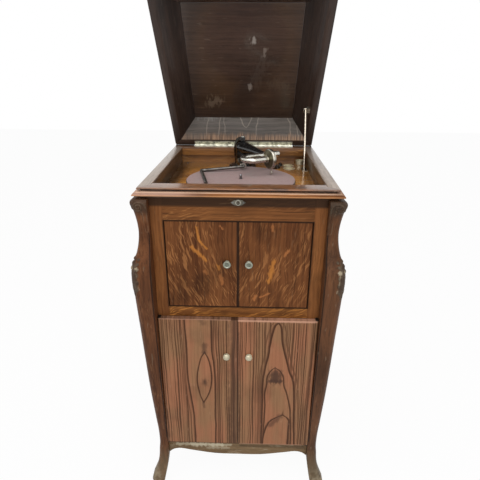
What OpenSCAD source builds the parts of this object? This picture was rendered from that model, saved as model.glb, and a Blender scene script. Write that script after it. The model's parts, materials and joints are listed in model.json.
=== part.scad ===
/* [Case] */
// Clear width between the corner posts
case_w = 420; // [390:1:450]
// Clear depth between the corner posts
case_d = 484; // [460:1:520]
// Height of the rim above the floor
rim_h = 940; // [910:1:970]
// Thickness of panels, stiles, rails and aprons
panel_t = 17; // [14:0.5:20]
// Height of the apron's top edge, where the doors start
apron_top = 152; // [138:1:160]
// Height of the apron's lower edge at its middle
apron_low = 94; // [86:1:104]
// Thickness of the floor board and of the horn shelf
shelf_t = 12; // [8:1:16]
// Thickness of the two record dividers
divider_t = 8; // [6:1:12]

/* [Posts] */
// How far a foot stands out past the corner of the case
foot_out = 54; // [48:1:60]
// How far the ankle stands out
ankle_out = 27; // [22:0.5:30]
// How far the knee stands out
knee_out = 52; // [46:1:58]
// How far the waist stands out
waist_out = 29.5; // [24:0.5:34]
// How far the scroll at the top stands out
scroll_out = 40.5; // [34:0.5:44]

/* [Rim and moulding] */
// How far the rim stands out past the case's inner faces
rim_over = 24.5; // [22:0.5:28]
// Thickness of the rim's boards
rim_t = 4; // [3:0.5:12]
// Width of the rim's side boards
rim_side_w = 28; // [26:1:30]
// Width of the rim's front board
rim_front_w = 42; // [36:1:48]
// Width of the rim's back board
rim_back_w = 35; // [32:1:40]
// Thickness of the moulding
mould_t = 17; // [12:1:18]
// How far the moulding stands out past the rim
mould_out = 10; // [7:0.5:13]
// Height of the groove between moulding and rim
groove_t = 5; // [2:0.5:7]

/* [Doors] */
// Width of a front stile
stile_w = 31; // [26:1:36]
// Height of the top rail
top_rail_h = 56; // [50:1:64]
// Height of the upper door opening
upper_door_h = 236; // [220:1:250]
// Height of the middle rail
mid_rail_h = 30; // [26:1:42]
// Thickness of an upper door
upper_door_t = 15; // [12:0.5:16]
// Thickness of a lower door
lower_door_t = 12.5; // [11:0.5:16]
// Gap round a door
door_gap = 0.75; // [0.5:0.05:1.5]
// Distance of a door's pivot from its outer edge and front face
pivot_in = 4; // [3.5:0.1:5]
// Radius of a door's pivot pin
pin_r = 2; // [1.5:0.1:2.2]
// Distance of an upper knob from the middle of the case
upper_knob_x = 27; // [20:1:40]
// Distance of a lower knob from the middle of the case
lower_knob_x = 30; // [20:1:40]
// Height of the upper knobs above the upper doors' lower edge
upper_knob_up = 126; // [80:1:170]
// Height of the lower knobs above the apron
lower_knob_up = 324; // [250:1:390]
// Radius of a knob
knob_r = 10; // [7:0.5:11]
// Length of a knob
knob_len = 12; // [10:1:20]

/* [Deck and turntable] */
// Depth of the deck below the rim
deck_drop = 50; // [45:1:56]
// Thickness of the deck
deck_t = 18; // [14:1:20]
// Radius of the turntable
platter_r = 152.4; // [127:0.1:155]
// Free deck before the turntable in the case of the real depth
platter_front = 48.6; // [40:0.2:55]
// Free deck between the turntable and the tonearm's base in the case of the real depth
platter_back = 18.6; // [12:0.2:25]
// Height of the turntable's edge
platter_h = 10.5; // [9:0.5:12]
// Gap between deck and turntable
platter_gap = 3; // [2:0.5:4]
// Thickness of the felt
felt_t = 1.5; // [1:0.1:2.5]
// Radius of the record spindle
spindle_r = 3.6; // [3:0.1:4]
// Height of the spindle above the felt
spindle_up = 13; // [10:1:18]
// Radius of a needle cup
cup_r = 17; // [14:0.5:19]

/* [Lid] */
// Angle that the lid stands open
lid_open = 54.8; // [50:0.1:60]
// Height of the lid
lid_h = 78; // [74:1:86]
// Depth of the hollow inside the lid
lid_deep = 60; // [56:1:62]
// Thickness of the lid's flat panel
lid_panel_t = 12; // [8:1:14]
// Width of the lid's lower edge
lid_edge_w = 21; // [19:1:24]
// How far the side walls of the lid lean in
lid_side_lean = 48.6; // [44:0.2:52]
// How far the back wall of the lid leans in
lid_back_lean = 44; // [40:0.5:48]
// How far the front wall of the lid leans in
lid_front_lean = 60; // [54:0.5:64]
// Gap between rim and lid that the hinge leaves fill
lid_gap = 2.8; // [2.6:0.1:3.6]
// Length of the strip hinge
hinge_len = 335; // [280:1:370]
// Radius of the hinge knuckles
knuckle_r = 3.2; // [2.8:0.1:3.6]
// Radius of the stay rod
stay_r = 2.5; // [2:0.1:3]
// Length of the stay rod
stay_len = 212; // [205:1:220]

/* [Tonearm] */
// Distance of the tonearm's pivot from the back of the deck
arm_back = 68; // [66:1:76]
// Angle of the arm, to the right of straight forward
arm_angle = 30; // [22:0.5:34]
// Length of the arm from its pivot to the gooseneck's axis
arm_len = 139; // [130:1:145]
// Height of the arm's axis above the deck
arm_up = 62; // [58:1:64]
// Radius of the arm at its pivot
arm_r = 21; // [18:0.5:22]
// Radius of the arm at its narrow end
arm_tip_r = 9; // [8:0.5:10]
// Radius of the gooseneck's tube
goose_r = 8; // [6.5:0.5:8.5]
// Radius of the gooseneck's bend
goose_bend = 25.5; // [22:0.5:27]
// Radius of the sound box
sound_r = 29; // [26:0.5:30]
// Thickness of the sound box
sound_t = 14; // [12:0.5:16]

/* [Crank] */
// Radius of the crank's rod
crank_r = 4.5; // [4:0.1:5]
// Length of the crank's shaft
crank_shaft = 141; // [130:1:150]
// Length of the crank's arm
crank_arm = 128; // [118:1:132]
// Radius of the crank's handle
handle_r = 12; // [10:0.5:13]
// Length of the crank's handle
handle_len = 74; // [66:1:78]

/* [Motor] */
// Thickness of the motor's plates
plate_t = 4; // [3:0.5:5]
// Height between the motor's plates
motor_h = 74; // [74:1:78]
// Gap between the deck and the motor's top plate
motor_drop = 4; // [3:0.5:6]
// Module of the spindle, intermediate and governor gears
gear_m = 1.5; // [1.4:0.05:1.55]
// Module of the barrel's gear
barrel_m = 2; // [1.9:0.05:2]
// Radius of the winding shaft
wind_r = 6; // [5:0.5:6.5]

/* [Hidden] */
$fn = 64;

// Colours of the woods and metals
dark_oak = [0.29, 0.15, 0.08];
deck_oak = [0.55, 0.30, 0.12];
pale_oak = [0.45, 0.27, 0.19];
lid_oak = [0.16, 0.09, 0.06];
nickel = [0.75, 0.74, 0.70];
steel = [0.48, 0.48, 0.50];
brass = [0.70, 0.56, 0.30];
black = [0.06, 0.06, 0.06];
felt_mauve = [0.50, 0.38, 0.38];

// Clearances: a fixed joint's line, a running fit, a running gap and a loose fit
joint_line = 0.2;
fit = 0.1;
run = 0.4;
loose = 0.3;

// Places that follow from the case
half_w = case_w / 2;
half_d = case_d / 2;
front_y = -half_d - panel_t;
rim_x = half_w + rim_over;
rim_y = half_d + rim_over;
case_top = rim_h - rim_t - groove_t - mould_t;
deck_z = rim_h - deck_drop;
mould_z = case_top;
rim_z = rim_h - rim_t;
groove_in = 8;
edge_round = 3;
opening_x = half_w - stile_w;
upper_top = case_top - top_rail_h;
upper_low = upper_top - upper_door_h;
lower_top = upper_low - mid_rail_h;
floor_z = apron_top;
shelf_z = upper_low - shelf_t;
upper_knob_z = upper_low + upper_knob_up;
lower_knob_z = apron_top + lower_knob_up;

// Heights of the posts' turns, and the relief inside the feet
ankle_z = 170;
knee_drop = 199;
waist_drop = 84;
scroll_drop = 9;
knee_z = case_top - knee_drop;
waist_z = case_top - waist_drop;
scroll_z = case_top - scroll_drop;
foot_relief = 17;
relief_z = 112;
corner_share = 0.45;
toe_z = 12;
instep_z = 45;
foot_top_z = 80;
ankle_low_z = 115;
knee_below = 65;
knee_above = 35;
knee_turn = 60;
knee_end = 85;
waist_end = 30;
scroll_start = 55;
post_outline = [
    [0, foot_out - 1],
    [toe_z, foot_out],
    [instep_z, (foot_out + ankle_out) / 2],
    [foot_top_z, ankle_out + 5.5],
    [ankle_low_z, ankle_out + 2.5],
    [ankle_z, ankle_out],
    [ankle_z + (knee_z - ankle_z) * 0.33, ankle_out + (knee_out - ankle_out) * 0.43],
    [ankle_z + (knee_z - ankle_z) * 0.7, ankle_out + (knee_out - ankle_out) * 0.77],
    [knee_z - knee_below, knee_out - 1.5],
    [knee_z, knee_out],
    [knee_z + knee_above, knee_out - 4],
    [knee_z + knee_turn, waist_out + 9],
    [knee_z + knee_end, waist_out + 3],
    [waist_z, waist_out],
    [waist_z + waist_end, waist_out + 2],
    [waist_z + scroll_start, scroll_out - 4.5],
    [scroll_z, scroll_out],
    [case_top, scroll_out - 5]
];
apron_curve = [[0, 2], [15, 14], [37, 18], [70, 12], [140, 1]];

// Places of the doors' pivots
upper_edge_x = opening_x - door_gap;
lower_edge_x = half_w - door_gap;
door_stand = 0.5;
lower_front_y = front_y - door_stand - lower_door_t;
pivot_depth = 8;
door_chamfer = 3;
pivot_tab_t = 2.5;

// Places of the deck's fittings
base_r = 44;
arm_y = half_d - arm_back;
free_deck = arm_y - base_r + half_d - 2 * platter_r;
platter_y = platter_r - half_d + free_deck * platter_front / (platter_front + platter_back);
felt_z = deck_z + platter_gap + platter_h + felt_t;
shaft_r = spindle_r + 1.4;
spindle_tip = 3;
deck_low = deck_z - deck_t;
cup_side = 60;
cup_backs = [92, 50];
cup_places = [for (b = cup_backs) [half_w - cup_side, half_d - b]];
cup_deep = 12;
cup_lip = 1.6;
tall_cup_place = [half_w - 20, half_d - 30];
tall_cup_r = 13;
tall_cup_h = 15;
brake_place = [half_w - 97, half_d - 87];
brake_tail = 20;
speed_place = [half_w - 44, 54 - half_d];
pipe_r = 18;
pipe_wall = 4;

// The lid's places when shut, and its hinge
lid_z = rim_h + lid_gap;
hinge_y = rim_y + knuckle_r + loose;
hinge_z = rim_h + lid_gap / 2;
leaf_t = (lid_gap - run) / 2;
leaf_w = 14;
knuckles = 21;
hinge_pin_r = 1.2;
lid_px = rim_x - lid_edge_w - lid_side_lean;
lid_pf = -rim_y + lid_edge_w + lid_front_lean;
lid_pb = rim_y - lid_edge_w - lid_back_lean;
lid_band = 22;
lid_step = 5;
lid_cove_in = 52;
lid_cove_top = lid_h - 6;

// The stay rod's pivot in the shut lid, its guide on the deck and its lean at rest
stay_back = 144.5;
stay_rise = 13;
stay_wall_x = rim_x - lid_edge_w - lid_side_lean * stay_rise / lid_deep;
stay_off = 5.3;
eye_r = 4.2;
eye_t = 3;
stay_pin_r = 1.6;
bracket_half = 9;
stay_x = stay_wall_x - stay_off;
stay_y = rim_y - stay_back;
stay_z = lid_z + stay_rise;
guide_y = half_d - 102;
guide_t = 2;
guide_slot = 24;
deck_slot = 34;
stay_rest = lid_point(stay_y, stay_z);
stay_lean = atan2(guide_y - stay_rest[0], stay_rest[1] - deck_z);

// The tonearm's heights and the sound box's place along the arm
arm_z = deck_z + arm_up;
ball_r = arm_r + 1;
boss_up = 1;
arch_r = 41;
arch_t = 10;
arch_w = 16;
arch_z = deck_z + 50;
base_t = 5;
collar_h = 10;
ferrule_out = 45;
goose_leg = 50;
joint_l = -arm_tip_r - 0.5;
sound_s = arm_len + 2 * goose_bend;
sound_l = -25.5;
needle_lean = 9;

// The crank's place on the felt
crank_place = [-119, platter_y + 72];
crank_turn = 11.5;
crank_z = felt_z + loose + crank_r;
crank_tilt = asin((handle_r - crank_r) / crank_arm);
handle_pin_r = 3;
handle_start = 7;

// The motor's places: gear teeth, axes and heights
pressure = 25;
addendum = 0.8;
dedendum = 1.05;
backlash = 0.3;
small_teeth = 10;
big_teeth = 40;
barrel_teeth = 48;
barrel_pinion = 12;
mesh_r = gear_m * (small_teeth + big_teeth) / 2;
barrel_mesh = barrel_m * (barrel_teeth + barrel_pinion) / 2;
spindle_at = [0, platter_y];
inter_at = spindle_at + mesh_r * [-1, 0];
inter_angle = 180;
barrel_angle = 127;
barrel_at = inter_at + barrel_mesh * [cos(barrel_angle), sin(barrel_angle)];
governor_angle = -37;
governor_at = spindle_at + mesh_r * [cos(governor_angle), sin(governor_angle)];
plate_high = deck_low - motor_drop;
plate_low = plate_high - plate_t;
frame_high = plate_low - motor_h;
frame_low = frame_high - plate_t;
gear_t = 8;
spin_gear_z = plate_low - 12;
inter_gear_z = plate_low - 28;
barrel_gear_z = plate_low - 42;
barrel_r = barrel_m * barrel_teeth / 2 - 4;
barrel_wall = 2;
inter_shaft_r = 3;
arbor_r = 5;
governor_shaft_r = 2.5;
governor_disc_r = 21;
arbor_wheel_r = 30;
worm_r = wind_r + 2;
wind_y = barrel_at[1] + arbor_wheel_r + worm_r + run;
wind_z = spin_gear_z + gear_t / 2 - 1;
wind_end = half_w + panel_t + 4;
socket_r = crank_r + 0.2;
socket_deep = 30;
wind_bush_r = wind_r + 1;
pillar_r = 5;
bolt_r = 2.9;
pillar_places = [[-112, platter_y - 39], [52, platter_y - 55], [52, platter_y + 101],
    [-112, platter_y + 109]];
plate_round = 14;
frame_round = 12;
wind_block_x = 30;
wind_block_t = 10;
spring_turns = 8;
spring_t = 1.2;

// The horn's mouth, kink and throat
horn_t = 8;
horn_mouth_y = -half_d + 2;
horn_mouth_x = opening_x - 8;
horn_mouth_low = upper_low + horn_t + 1;
horn_mouth_high = upper_top - 10;
kink_back = 92;
horn_kink_y = kink_back - half_d;
horn_kink_high = frame_low - 20;
throat_front = 56;
horn_throat_y = arm_y - throat_front;
horn_throat_x = pipe_r + 2;
throat_up = 78;
horn_throat_z = upper_low + throat_up;
elbow_r = 40;
flange_out = 8;
flange_t = 5;

// The case sits forward of the origin, so that the part with its lid open is centred over the floor
lid_rear = lid_point(rim_y - lid_cove_in, lid_z + lid_h);
case_y = -(lid_rear[0] - half_d - foot_out) / 2;

// A point of the shut lid, carried to the open lid
function lid_point(y, z) = [
    hinge_y + (y - hinge_y) * cos(lid_open) + (z - hinge_z) * sin(lid_open),
    hinge_z - (y - hinge_y) * sin(lid_open) + (z - hinge_z) * cos(lid_open)
];

// A smooth curve through a list of points, with n steps between each two
function between(a, b, c, d, t) =
    0.5 * (2 * b + (c - a) * t + (2 * a - 5 * b + 4 * c - d) * t * t + (3 * b - a - 3 * c + d) * t * t * t);
function smooth(p, n) = concat(
    [for (i = [0:len(p) - 2]) for (k = [0:n - 1])
        between(p[max(i - 1, 0)], p[i], p[i + 1], p[min(i + 2, len(p) - 1)], k / n)],
    [p[len(p) - 1]]
);
function reversed(p) = [for (i = [len(p) - 1:-1:0]) p[i]];
function arc(c, rx, rz, a0, a1, n) =
    [for (k = [0:n]) let (a = a0 + (a1 - a0) * k / n) [c[0] + rx * cos(a), c[1] + rz * sin(a)]];

// A board given by its lowest and highest corners
module board(low, high) {
    translate(low) cube(high - low);
}

// A solid through a stack of rings that all have as many points
module loft(rings) {
    n = len(rings[0]);
    m = len(rings);
    walls = [for (k = [0:m - 2]) for (j = [0:n - 1]) for (half = [0, 1])
        let (a = k * n + j, b = k * n + (j + 1) % n)
        half == 0 ? [a, a + n, b + n] : [a, b + n, b]];
    low_cap = [for (j = [0:n - 1]) j];
    high_cap = [for (j = [n - 1:-1:0]) (m - 1) * n + j];
    polyhedron([for (r = rings) for (p = r) p], concat([low_cap, high_cap], walls));
}

// A solid bounded by the same outline seen from the front and from the side
module envelope(hx, hy, outline) {
    right = [for (p = outline) [hx + p[0], p[1]]];
    back = [for (p = outline) [hy + p[0], p[1]]];
    left = [for (p = reversed(right)) [-p[0], p[1]]];
    front = [for (p = reversed(back)) [-p[0], p[1]]];
    intersection() {
        rotate([90, 0, 0]) linear_extrude(4 * hy, center = true) polygon(concat(right, left));
        rotate([90, 0, 90]) linear_extrude(4 * hx, center = true) polygon(concat(back, front));
    }
}

// Four mitred boards cut from the given envelope: front and back first, then the two sides
module mitred(hx, hy, low, high) {
    m = rim_side_w + hx - rim_x;
    front_in = rim_front_w - rim_side_w + m;
    back_in = rim_back_w - rim_side_w + m;
    front = [[-hx, -hy], [hx, -hy], [hx - m, m - hy], [hx - m, front_in - hy],
        [m - hx, front_in - hy], [m - hx, m - hy]];
    back = [[hx, hy], [-hx, hy], [m - hx, hy - m], [m - hx, hy - back_in],
        [hx - m, hy - back_in], [hx - m, hy - m]];
    e = joint_line;
    side = [[hx, e - hy], [hx, hy - e], [hx - m + e, hy - m - 2 * e], [hx - m + e, m + 2 * e - hy]];
    for (plan = [front, back, side, [for (p = side) [-p[0], p[1]]]])
        intersection() {
            children();
            translate([0, 0, low]) linear_extrude(high - low) polygon(plan);
        }
}

// Case

function relief(z) = foot_relief * pow(max(0, 1 - z / relief_z), 1.5);
function post_ring(z, o) = let (i = relief(z), r = corner_share * (o - i)) concat(
    [[i, i, z], [o, i, z]],
    [for (p = arc([o - r, o - r], r, r, 0, 90, 4)) [p[0], p[1], z]],
    [[i, o, z]]
);

module post(sx, sy) {
    mirror([sx < 0 ? 1 : 0, 0, 0]) mirror([0, sy < 0 ? 1 : 0, 0])
        translate([half_w, half_d, 0])
            loft([for (p = smooth(post_outline, 2)) post_ring(p[0], p[1])]);
}

module front_posts() {
    color(dark_oak) for (s = [-1, 1]) post(s, -1);
}

module rear_posts() {
    color(dark_oak) for (s = [-1, 1]) post(s, 1);
}

module front_stiles() {
    color(dark_oak) for (s = [0, 1]) mirror([s, 0, 0])
        board([opening_x, front_y, apron_top], [half_w, -half_d, case_top]);
}

// The four pivot holes of the upper doors, on both sides
module upper_pin_holes(z, down) {
    for (s = [-1, 1])
        translate([s * (upper_edge_x - pivot_in), front_y + pivot_in, z - down * pivot_depth])
            cylinder(r = pin_r, h = pivot_depth);
}

module top_rail() {
    color(dark_oak) difference() {
        board([-opening_x, front_y, upper_top], [opening_x, -half_d, case_top]);
        upper_pin_holes(upper_top, 0);
    }
}

module middle_rail() {
    color(dark_oak) difference() {
        board([-opening_x, front_y, lower_top], [opening_x, -half_d, upper_low]);
        upper_pin_holes(upper_low, 1);
    }
}

// An apron board that runs along X, with a shaped lower edge, on its outer face at y = 0
module apron(half) {
    edge = smooth(concat([for (p = apron_curve) [half - p[0], apron_low + p[1]]], [[0, apron_low]]), 3);
    left = [for (p = reversed(edge)) [-p[0], p[1]]];
    outline = concat([[half, apron_top]], edge, [for (i = [1:len(left) - 1]) left[i]], [[-half, apron_top]]);
    rotate([90, 0, 0]) translate([0, 0, -panel_t]) linear_extrude(panel_t) polygon(outline);
}

module aprons() {
    color(dark_oak) {
        translate([0, front_y, 0]) apron(half_w);
        translate([0, half_d, 0]) apron(half_w);
        translate([half_w + panel_t, 0, 0]) rotate([0, 0, 90]) apron(half_d);
        translate([-half_w, 0, 0]) rotate([0, 0, 90]) apron(half_d);
    }
}

module side_panels() {
    color(dark_oak) {
        board([-half_w - panel_t, -half_d, apron_top], [-half_w, half_d, case_top]);
        difference() {
            board([half_w, -half_d, apron_top], [half_w + panel_t, half_d, case_top]);
            translate([half_w - 1, wind_y, wind_z]) rotate([0, 90, 0])
                cylinder(r = wind_bush_r + 2, h = panel_t + 2);
        }
    }
}

module back_panel() {
    color(dark_oak) board([-half_w, half_d, apron_top], [half_w, half_d + panel_t, case_top]);
}

module floor_board() {
    e = joint_line;
    color(dark_oak)
        board([e - half_w, e - half_d, floor_z], [half_w - e, half_d - e, floor_z + shelf_t]);
}

module horn_shelf() {
    e = joint_line;
    color(dark_oak)
        board([e - half_w, e - half_d, shelf_z], [half_w - e, half_d - e, shelf_z + shelf_t]);
}

module record_dividers() {
    bay = (case_w - 2 * divider_t) / 3;
    color(dark_oak) for (s = [0, 1]) mirror([s, 0, 0])
        board([bay / 2, -half_d + 12, floor_z + shelf_t], [bay / 2 + divider_t, half_d - 1, shelf_z]);
}

module deck_blocks() {
    size = 26;
    color(dark_oak) for (sx = [0, 1]) for (sy = [0, 1]) mirror([sx, 0, 0]) mirror([0, sy, 0])
        board([half_w - size, half_d - size, deck_low - size], [half_w, half_d, deck_low]);
}

module top_moulding() {
    high = mould_z + mould_t;
    nose = mould_z + mould_t * 0.5;
    hx = rim_x + mould_out;
    hy = rim_y + mould_out;
    cove = arc([0, mould_z], mould_out + 6, nose - mould_z, 180, 90, 5);
    bead = arc([-2, nose + 2], 2, 2, 0, 90, 3);
    neck = [[-mould_out + 2, high - 1.5], [-mould_out + 2, high],
        [-mould_out - groove_in, high], [-mould_out - groove_in, high + groove_t]];
    outline = concat([for (p = cove) [p[0], p[1]]], [[0, nose + 1]], bead, neck);
    color(dark_oak) mitred(hx, hy, mould_z, high + groove_t) envelope(hx, hy, outline);
}

module top_rim() {
    r = min(edge_round, rim_t / 2);
    outline = concat(
        arc([-r / 2, rim_z + r / 2], r / 2, r / 2, -90, 0, 3),
        arc([-r, rim_h - r], r, r, 0, 90, 4)
    );
    color(dark_oak) mitred(rim_x, rim_y, rim_z, rim_h) envelope(rim_x, rim_y, outline);
}

// Deck

module motor_board() {
    e = loose;
    color(deck_oak) difference() {
        board([e - half_w, e - half_d, deck_low], [half_w - e, half_d - e, deck_z]);
        translate([0, platter_y, deck_low - 1]) cylinder(r = shaft_r + 3, h = deck_t + 2);
        translate([0, arm_y, deck_low - 1]) cylinder(r = pipe_r + pipe_wall + loose, h = deck_t + 2);
        for (p = cup_places) translate([p[0], p[1], deck_z - cup_deep - 1])
            cylinder(r = cup_r + fit, h = cup_deep + 2);
        for (p = pillar_places) translate([p[0], p[1], deck_low - 1])
            cylinder(r = bolt_r + fit, h = deck_t + 2);
        translate([brake_place[0], brake_place[1], deck_z - 10]) cylinder(r = 3 + fit, h = 11);
        translate([speed_place[0], speed_place[1], deck_z - 14]) cylinder(r = 4 + fit, h = 15);
        board([stay_x - stay_r - 1.5, guide_y - deck_slot / 2, deck_low - 1],
            [stay_x + stay_r + 1.5, guide_y + deck_slot / 2, deck_z + 1]);
    }
}

module needle_cups() {
    r = cup_r;
    low = deck_z - cup_deep;
    color(nickel) for (p = cup_places) translate([p[0], p[1], 0])
        rotate_extrude() polygon([
            [0, low], [r, low], [r, deck_z], [r + 2.5, deck_z], [r + 2.5, deck_z + cup_lip * 0.6],
            [r + 1.5, deck_z + cup_lip], [r - 1.5, deck_z + cup_lip], [r - 1.5, low + 5],
            [r - 5, low + 1.5], [0, low + 1.5]]);
    t = tall_cup_r;
    high = deck_z + tall_cup_h;
    color(nickel) translate([tall_cup_place[0], tall_cup_place[1], 0])
        rotate_extrude() polygon([
            [0, deck_z], [t - 1, deck_z], [t, deck_z + 1], [t, high - 2], [t + 2, high - 1.5],
            [t + 1.6, high], [t - 1.5, high], [t - 1.5, deck_z + 5], [t - 4, deck_z + 2],
            [0, deck_z + 2]]);
}

module stay_guide() {
    w = stay_r + 6;
    color(nickel) difference() {
        board([stay_x - w, guide_y - deck_slot / 2 - 5, deck_z],
            [stay_x + w, guide_y + deck_slot / 2 + 5, deck_z + guide_t]);
        board([stay_x - stay_r - run, guide_y - guide_slot / 2, deck_z - 1],
            [stay_x + stay_r + run, guide_y + guide_slot / 2, deck_z + guide_t + 1]);
    }
}

module lock_plate() {
    w = 18;
    h = 8;
    z = case_top - h - 1;
    color(nickel) translate([0, front_y, z]) rotate([90, 0, 0]) linear_extrude(1.6) difference() {
        polygon([[-w, 0], [-w * 0.55, h * 0.72], [0, h], [w * 0.55, h * 0.72],
            [w, 0], [w * 0.55, -h * 0.72], [0, -h], [-w * 0.55, -h * 0.72]]);
        translate([0, 1.5]) circle(1.6);
        translate([-0.8, -4]) square([1.6, 5]);
    }
}

module lid_lock() {
    color(brass) board([-22, -half_d, case_top - 20], [22, -half_d + 11, case_top - 1]);
}

module crank_plate() {
    color(brass) translate([half_w + panel_t, wind_y, wind_z]) rotate([0, 90, 0]) difference() {
        union() {
            cylinder(r = 17, h = 1.8);
            cylinder(r = wind_bush_r + 3, h = 3);
            translate([0, 0, -panel_t]) cylinder(r = wind_bush_r + 1.8, h = panel_t + 1);
        }
        translate([0, 0, -panel_t - 1]) cylinder(r = wind_bush_r + fit, h = panel_t + 6);
    }
}

// Horn

// The horn's depth, its side boards' width when cut square to Y, and the heights of its throat
horn_depth = horn_throat_y - horn_mouth_y;
horn_side_w = horn_t * norm([horn_mouth_x - horn_throat_x, horn_depth]) / horn_depth;
throat_high = horn_throat_z + pipe_r + 2;
throat_low = horn_throat_z - pipe_r - 2;

// A prism across the case, with the given outline along Y and Z
module horn_profile(outline) {
    rotate([90, 0, 90]) linear_extrude(case_w, center = true) polygon(outline);
}

// A prism as high as the case between the horn's mouth and throat, at two distances from its axis
module horn_plan(mouth_a, throat_a, mouth_b, throat_b) {
    linear_extrude(case_top) polygon([[mouth_a, horn_mouth_y], [mouth_b, horn_mouth_y],
        [throat_b, horn_throat_y], [throat_a, horn_throat_y]]);
}

module horn_side() {
    intersection() {
        horn_plan(horn_mouth_x, horn_throat_x, horn_mouth_x + horn_side_w, horn_throat_x + horn_side_w);
        horn_profile([[horn_mouth_y, horn_mouth_low], [horn_throat_y, throat_low],
            [horn_throat_y, throat_high], [horn_kink_y, horn_kink_high], [horn_mouth_y, horn_mouth_high]]);
    }
}

// A board of the roof or floor between two places along Y, against the side boards' edges
module horn_slope(y0, z0, y1, z1, up) {
    e = joint_line;
    pitch = (z1 - z0) / (y1 - y0);
    thick = horn_t * norm([1, pitch]);
    low = up > 0 ? e : -e - thick;
    mouth = horn_mouth_x + horn_side_w;
    throat = horn_throat_x + horn_side_w;
    a = [y0 + e, z0 + pitch * e + low];
    b = [y1 - e, z1 - pitch * e + low];
    intersection() {
        horn_profile([a, b, b + [0, thick], a + [0, thick]]);
        horn_plan(-mouth, -throat, mouth, throat);
    }
}

module horn_boards() {
    color(dark_oak) {
        for (s = [0, 1]) mirror([s, 0, 0]) horn_side();
        horn_slope(horn_mouth_y, horn_mouth_high, horn_kink_y, horn_kink_high, 1);
        horn_slope(horn_kink_y, horn_kink_high, horn_throat_y, throat_high, 1);
        horn_slope(horn_mouth_y, horn_mouth_low, horn_throat_y, throat_low, -1);
    }
}

module horn_elbow() {
    out = pipe_r + pipe_wall;
    wide = out + flange_out;
    flange_y = horn_throat_y + joint_line;
    bend_y = arm_y - elbow_r;
    bend_z = horn_throat_z + elbow_r;
    color(black) difference() {
        union() {
            translate([0, arm_y, bend_z]) cylinder(r = out, h = deck_z - bend_z);
            translate([0, bend_y, bend_z]) rotate([0, 90, 0])
                rotate_extrude(angle = 90) translate([elbow_r, 0]) circle(out);
            translate([0, flange_y + flange_t - 1, horn_throat_z]) rotate([-90, 0, 0])
                cylinder(r = out, h = bend_y - flange_y - flange_t + 1);
            board([-wide, flange_y, horn_throat_z - wide],
                [wide, flange_y + flange_t, horn_throat_z + wide]);
        }
        translate([0, arm_y, bend_z]) cylinder(r = pipe_r, h = deck_z - bend_z + 1);
        translate([0, bend_y, bend_z]) rotate([0, 90, 0])
            rotate_extrude(angle = 90) translate([elbow_r, 0]) circle(pipe_r);
        translate([0, horn_throat_y - 1, horn_throat_z]) rotate([-90, 0, 0])
            cylinder(r = pipe_r, h = bend_y - horn_throat_y + 1);
    }
}

// Doors

// A right-hand door in plan: its pivot at the origin, its free edge along -X, its back along +Y
module door_plan(wide, thick) {
    p = pivot_in;
    c = door_chamfer;
    polygon(concat([[-wide, -p]], arc([0, 0], p, p, -90, 0, 6),
        [[p, thick - p - c], [p - c, thick - p], [-wide, thick - p]]));
}

module door(edge_x, face_y, thick, low, high) {
    translate([edge_x - pivot_in, face_y + pivot_in, 0]) difference() {
        translate([0, 0, low]) linear_extrude(high - low)
            door_plan(edge_x - pivot_in - door_gap / 2, thick);
        for (z = [low - 1, high - pivot_depth])
            translate([0, 0, z]) cylinder(r = pin_r + fit, h = pivot_depth + 1);
    }
}

module upper_door() {
    color(dark_oak)
        door(upper_edge_x, front_y, upper_door_t, upper_low + door_gap, upper_top - door_gap);
}

module lower_door() {
    color(pale_oak)
        door(lower_edge_x, lower_front_y, lower_door_t, apron_top + door_gap, lower_top - door_gap);
}

module upper_right_door() {
    upper_door();
}

module upper_left_door() {
    mirror([1, 0, 0]) upper_door();
}

module lower_right_door() {
    lower_door();
}

module lower_left_door() {
    mirror([1, 0, 0]) lower_door();
}

module upper_door_pins() {
    enter = pivot_depth - 2;
    color(steel) for (s = [-1, 1]) for (z = [upper_top, upper_low])
        translate([s * (upper_edge_x - pivot_in), front_y + pivot_in,
            z == upper_top ? z - door_gap - enter : z - pivot_depth])
            cylinder(r = pin_r, h = pivot_depth + door_gap + enter);
}

// A pivot tab on the front frame with a pin that enters the door's end
module pivot_tab(z, up) {
    y = lower_front_y + pivot_in;
    enter = pivot_depth - 2;
    translate([lower_edge_x - pivot_in, 0, z]) mirror([0, 0, up > 0 ? 0 : 1]) {
        translate([0, y, 0]) cylinder(r = pivot_in, h = pivot_tab_t);
        board([-pivot_in, y, 0], [pivot_in, front_y, pivot_tab_t]);
        translate([0, y, -enter]) cylinder(r = pin_r, h = enter + 1);
    }
}

module lower_door_pivots() {
    color(steel) for (s = [0, 1]) mirror([s, 0, 0]) {
        pivot_tab(lower_top - door_gap + run, 1);
        pivot_tab(apron_top + door_gap - run, -1);
    }
}

// A knob on a door's face, turned about Y, with the given outline
module knob(x, y, z, outline) {
    translate([x, y, z]) rotate([90, 0, 0]) rotate_extrude() polygon(outline);
}

module upper_knob(s) {
    r = knob_r;
    outline = [[0, 0], [r * 0.72, 0], [r * 0.72, 2], [r * 0.42, 4], [r * 0.42, knob_len * 0.45],
        [r * 0.9, knob_len * 0.6], [r, knob_len * 0.78], [r * 0.9, knob_len * 0.95],
        [r * 0.7, knob_len], [r * 0.55, knob_len * 0.9], [0, knob_len * 0.9]];
    color(nickel) knob(s * upper_knob_x, front_y, upper_knob_z, outline);
}

module lower_knob(s) {
    r = knob_r;
    outline = [[0, 0], [r * 0.8, 0], [r * 0.8, 1.5], [r * 0.4, 3], [r * 0.38, knob_len * 0.4],
        [r * 0.8, knob_len * 0.55], [r * 0.92, knob_len * 0.7], [r * 0.7, knob_len * 0.88],
        [r * 0.25, knob_len], [0, knob_len]];
    color(nickel) knob(s * lower_knob_x, lower_front_y, lower_knob_z, outline);
}

module upper_left_knob() {
    upper_knob(-1);
}

module upper_right_knob() {
    upper_knob(1);
}

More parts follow.
